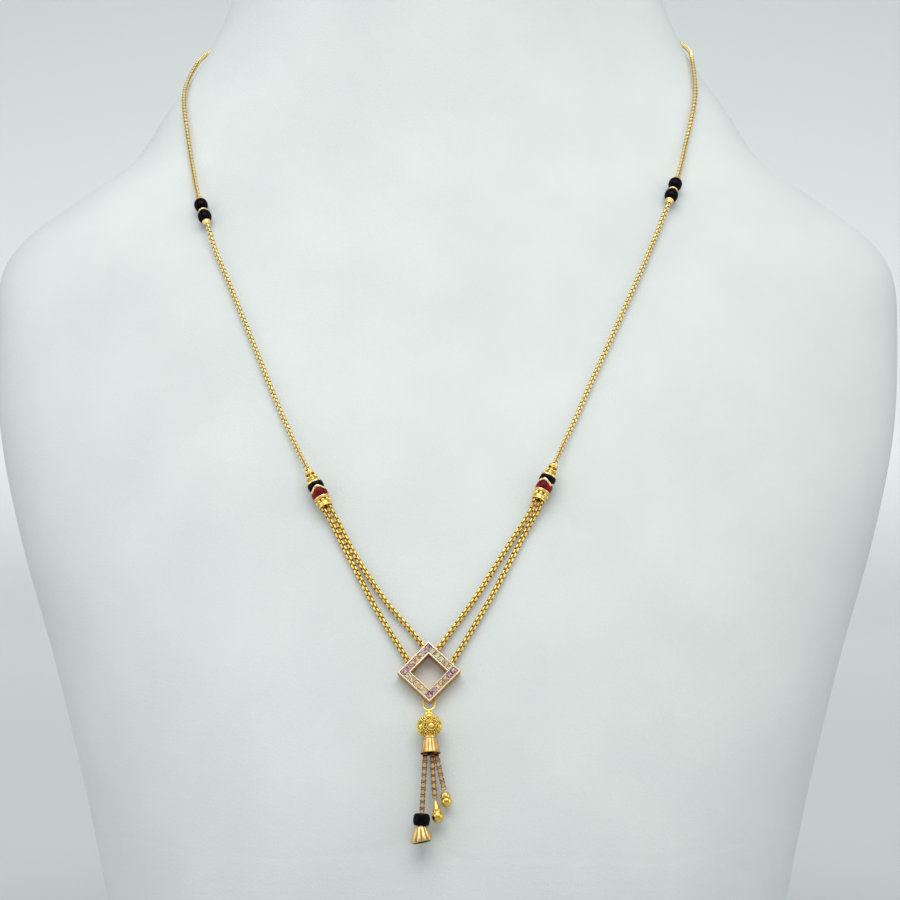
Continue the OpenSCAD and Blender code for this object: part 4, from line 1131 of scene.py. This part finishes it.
# The tassel's left end: a black glass bead over a ribbed bell of pale gold, which a pin across
# its neck holds to the last link.
TASSEL_BEAD_W, TASSEL_BEAD_H, BELL_W, BELL_H, BELL_LEAN = 3.7, 2.6, 4.7, 3.3, math.radians(8)
end_axes, end_at = tassel_axes[0], tassel_count[0] * LINK_PITCH
tassel_bead = lathe("tassel_black_bead", bead_profile(TASSEL_BEAD_W, TASSEL_BEAD_H, 0.95, 0.27))
placed(tassel_bead, *shifted(end_axes, end_at - 2.06))
piece_from(tassel_bead, "tassel_black_bead", black_glass, "tassel_bead")
bell_r = BELL_W / 2
bell_gold = metal_finish("gold of the bell", (0.77, 0.57, 0.27), (0.64, 0.43, 0.17), 0.4, 0.3,
                         (0.16, 0.07, 0.012))
bell_shell = [(0.87, 0, 0), (1.24, 0, 0), (1.33, 0.05, 0), (1.41, 0.16, 0.06), (1.56, 0.55, 0.2),
              (bell_r - 0.55, BELL_H * 0.35, 0.28), (bell_r - 0.3, BELL_H * 0.55, 0.34),
              (bell_r - 0.08, BELL_H * 0.75, 0.34), (bell_r, BELL_H - 0.2, 0.34),
              (bell_r - 0.05, BELL_H - 0.06, 0.3), (bell_r - 0.25, BELL_H, 0.22),
              (bell_r - 0.5, BELL_H, 0), (bell_r - 0.55, BELL_H * 0.75, 0), (0.87, 1.5, 0)]


def in_folds(p):
    """Painted shade inside the bell and down in its folds."""
    r, z = np.hypot(p[:, 0], p[:, 1]), p[:, 2]
    skirt = np.interp(z, [0.16, 0.55, 1.155, 1.815, 2.475, 3.1, 3.3],
                      [1.41, 1.56, 1.8, 2.05, 2.27, 2.35, 2.1])
    folds = np.where((z > 0.4) & (z < BELL_H - 0.1), 0.7 * (skirt - r) / 0.34, 0)
    return np.where((z > 1.4) & (r < np.interp(z, [1.5, 2.475, 3.3], [0.95, 1.84, 1.9])), 0.95, folds)


pin_o, end_u, end_v, end_w = shifted(end_axes, end_at + 0.2)
bell_w = math.cos(BELL_LEAN) * end_w - math.sin(BELL_LEAN) * end_u
bell_u = np.cross(end_v, bell_w)
bell = paint_shade(fluted_mesh("bell", bell_shell, 10), in_folds)
for point in bell.vertices:
    point.co.z += 0.12 * point.co.x * (point.co.z / (BELL_H * MM)) ** 2
bell = placed(bell, pin_o - 0.7 * bell_w, bell_u, end_v, bell_w)
pin_way = bell_u if tassel_count[0] % 2 == 0 else end_v
pin = wire_mesh("pin", np.array([pin_o - 1.05 * pin_way, pin_o, pin_o + 1.05 * pin_way]),
                [bell_w] * 3, 0.12, False)
piece_from(joined("ribbed_gold_bell", [bell, pin]), "ribbed_gold_bell", bell_gold, "bell_end")

# The pear drops: small bright drops of yellow gold, each turned with a ring at its neck and hung by
# a soldered eye from the last link of its chain.
DROP_W = 2.6
pear_gold = metal_finish("bright gold of the pear drops", (0.86, 0.61, 0.18), (0.72, 0.44, 0.08), 0.17, 0.3)
PEAR_LONG = [(0.28, 0.94), (0.29, 1.3), (0.4, 1.55), (0.6, 2.3), (0.84, 2.95), (0.95, 3.05),
             (0.95, 3.28), (0.86, 3.4)]
PEAR_WIDE = [(0.45, 0.94), (0.72, 1.03), (0.92, 1.3), (1.02, 1.62), (1.09, 1.82), (1.09, 2.16),
             (0.98, 2.28)]
EYE_R, EYE_STEPS = 0.44, 28
for k, name, cap, r, middle, lean in ((1, "middle", PEAR_LONG, DROP_W / 2, 4.66, 5),
                                      (2, "right", PEAR_WIDE, DROP_W / 2 - 0.08, 3.12, 0)):
    top, aside, facing, down = tassel_axes[k]
    centre = top + (tassel_count[k] * LINK_PITCH + 0.5) * down
    turn = math.radians(lean)
    way = math.cos(turn) * down - math.sin(turn) * aside
    across = np.cross(facing, way)
    pear = [(0, 0.94)] + cap
    for a in np.linspace(math.radians(-44), math.radians(88), 20):
        pear.append((r * math.cos(a), middle + r * math.sin(a)))
    pear.append((0, middle + r))
    drop = placed(lathe("pear", rounded(pear, 0.05)), centre - 0.5 * way, across, facing, way)
    eye_way = across if tassel_count[k] % 2 == 1 else facing
    circle = [centre + EYE_R * (math.cos(a) * way + math.sin(a) * np.cross(way, eye_way))
              for a in np.linspace(0, 2 * math.pi, EYE_STEPS, endpoint=False)]
    eye = wire_mesh("eye", np.array(circle), [eye_way] * EYE_STEPS, 0.1, True)
    piece_name = "gold_pear_drop_" + name
    piece_from(joined(piece_name, [drop, eye]), piece_name, pear_gold, "pear_drop_" + name)
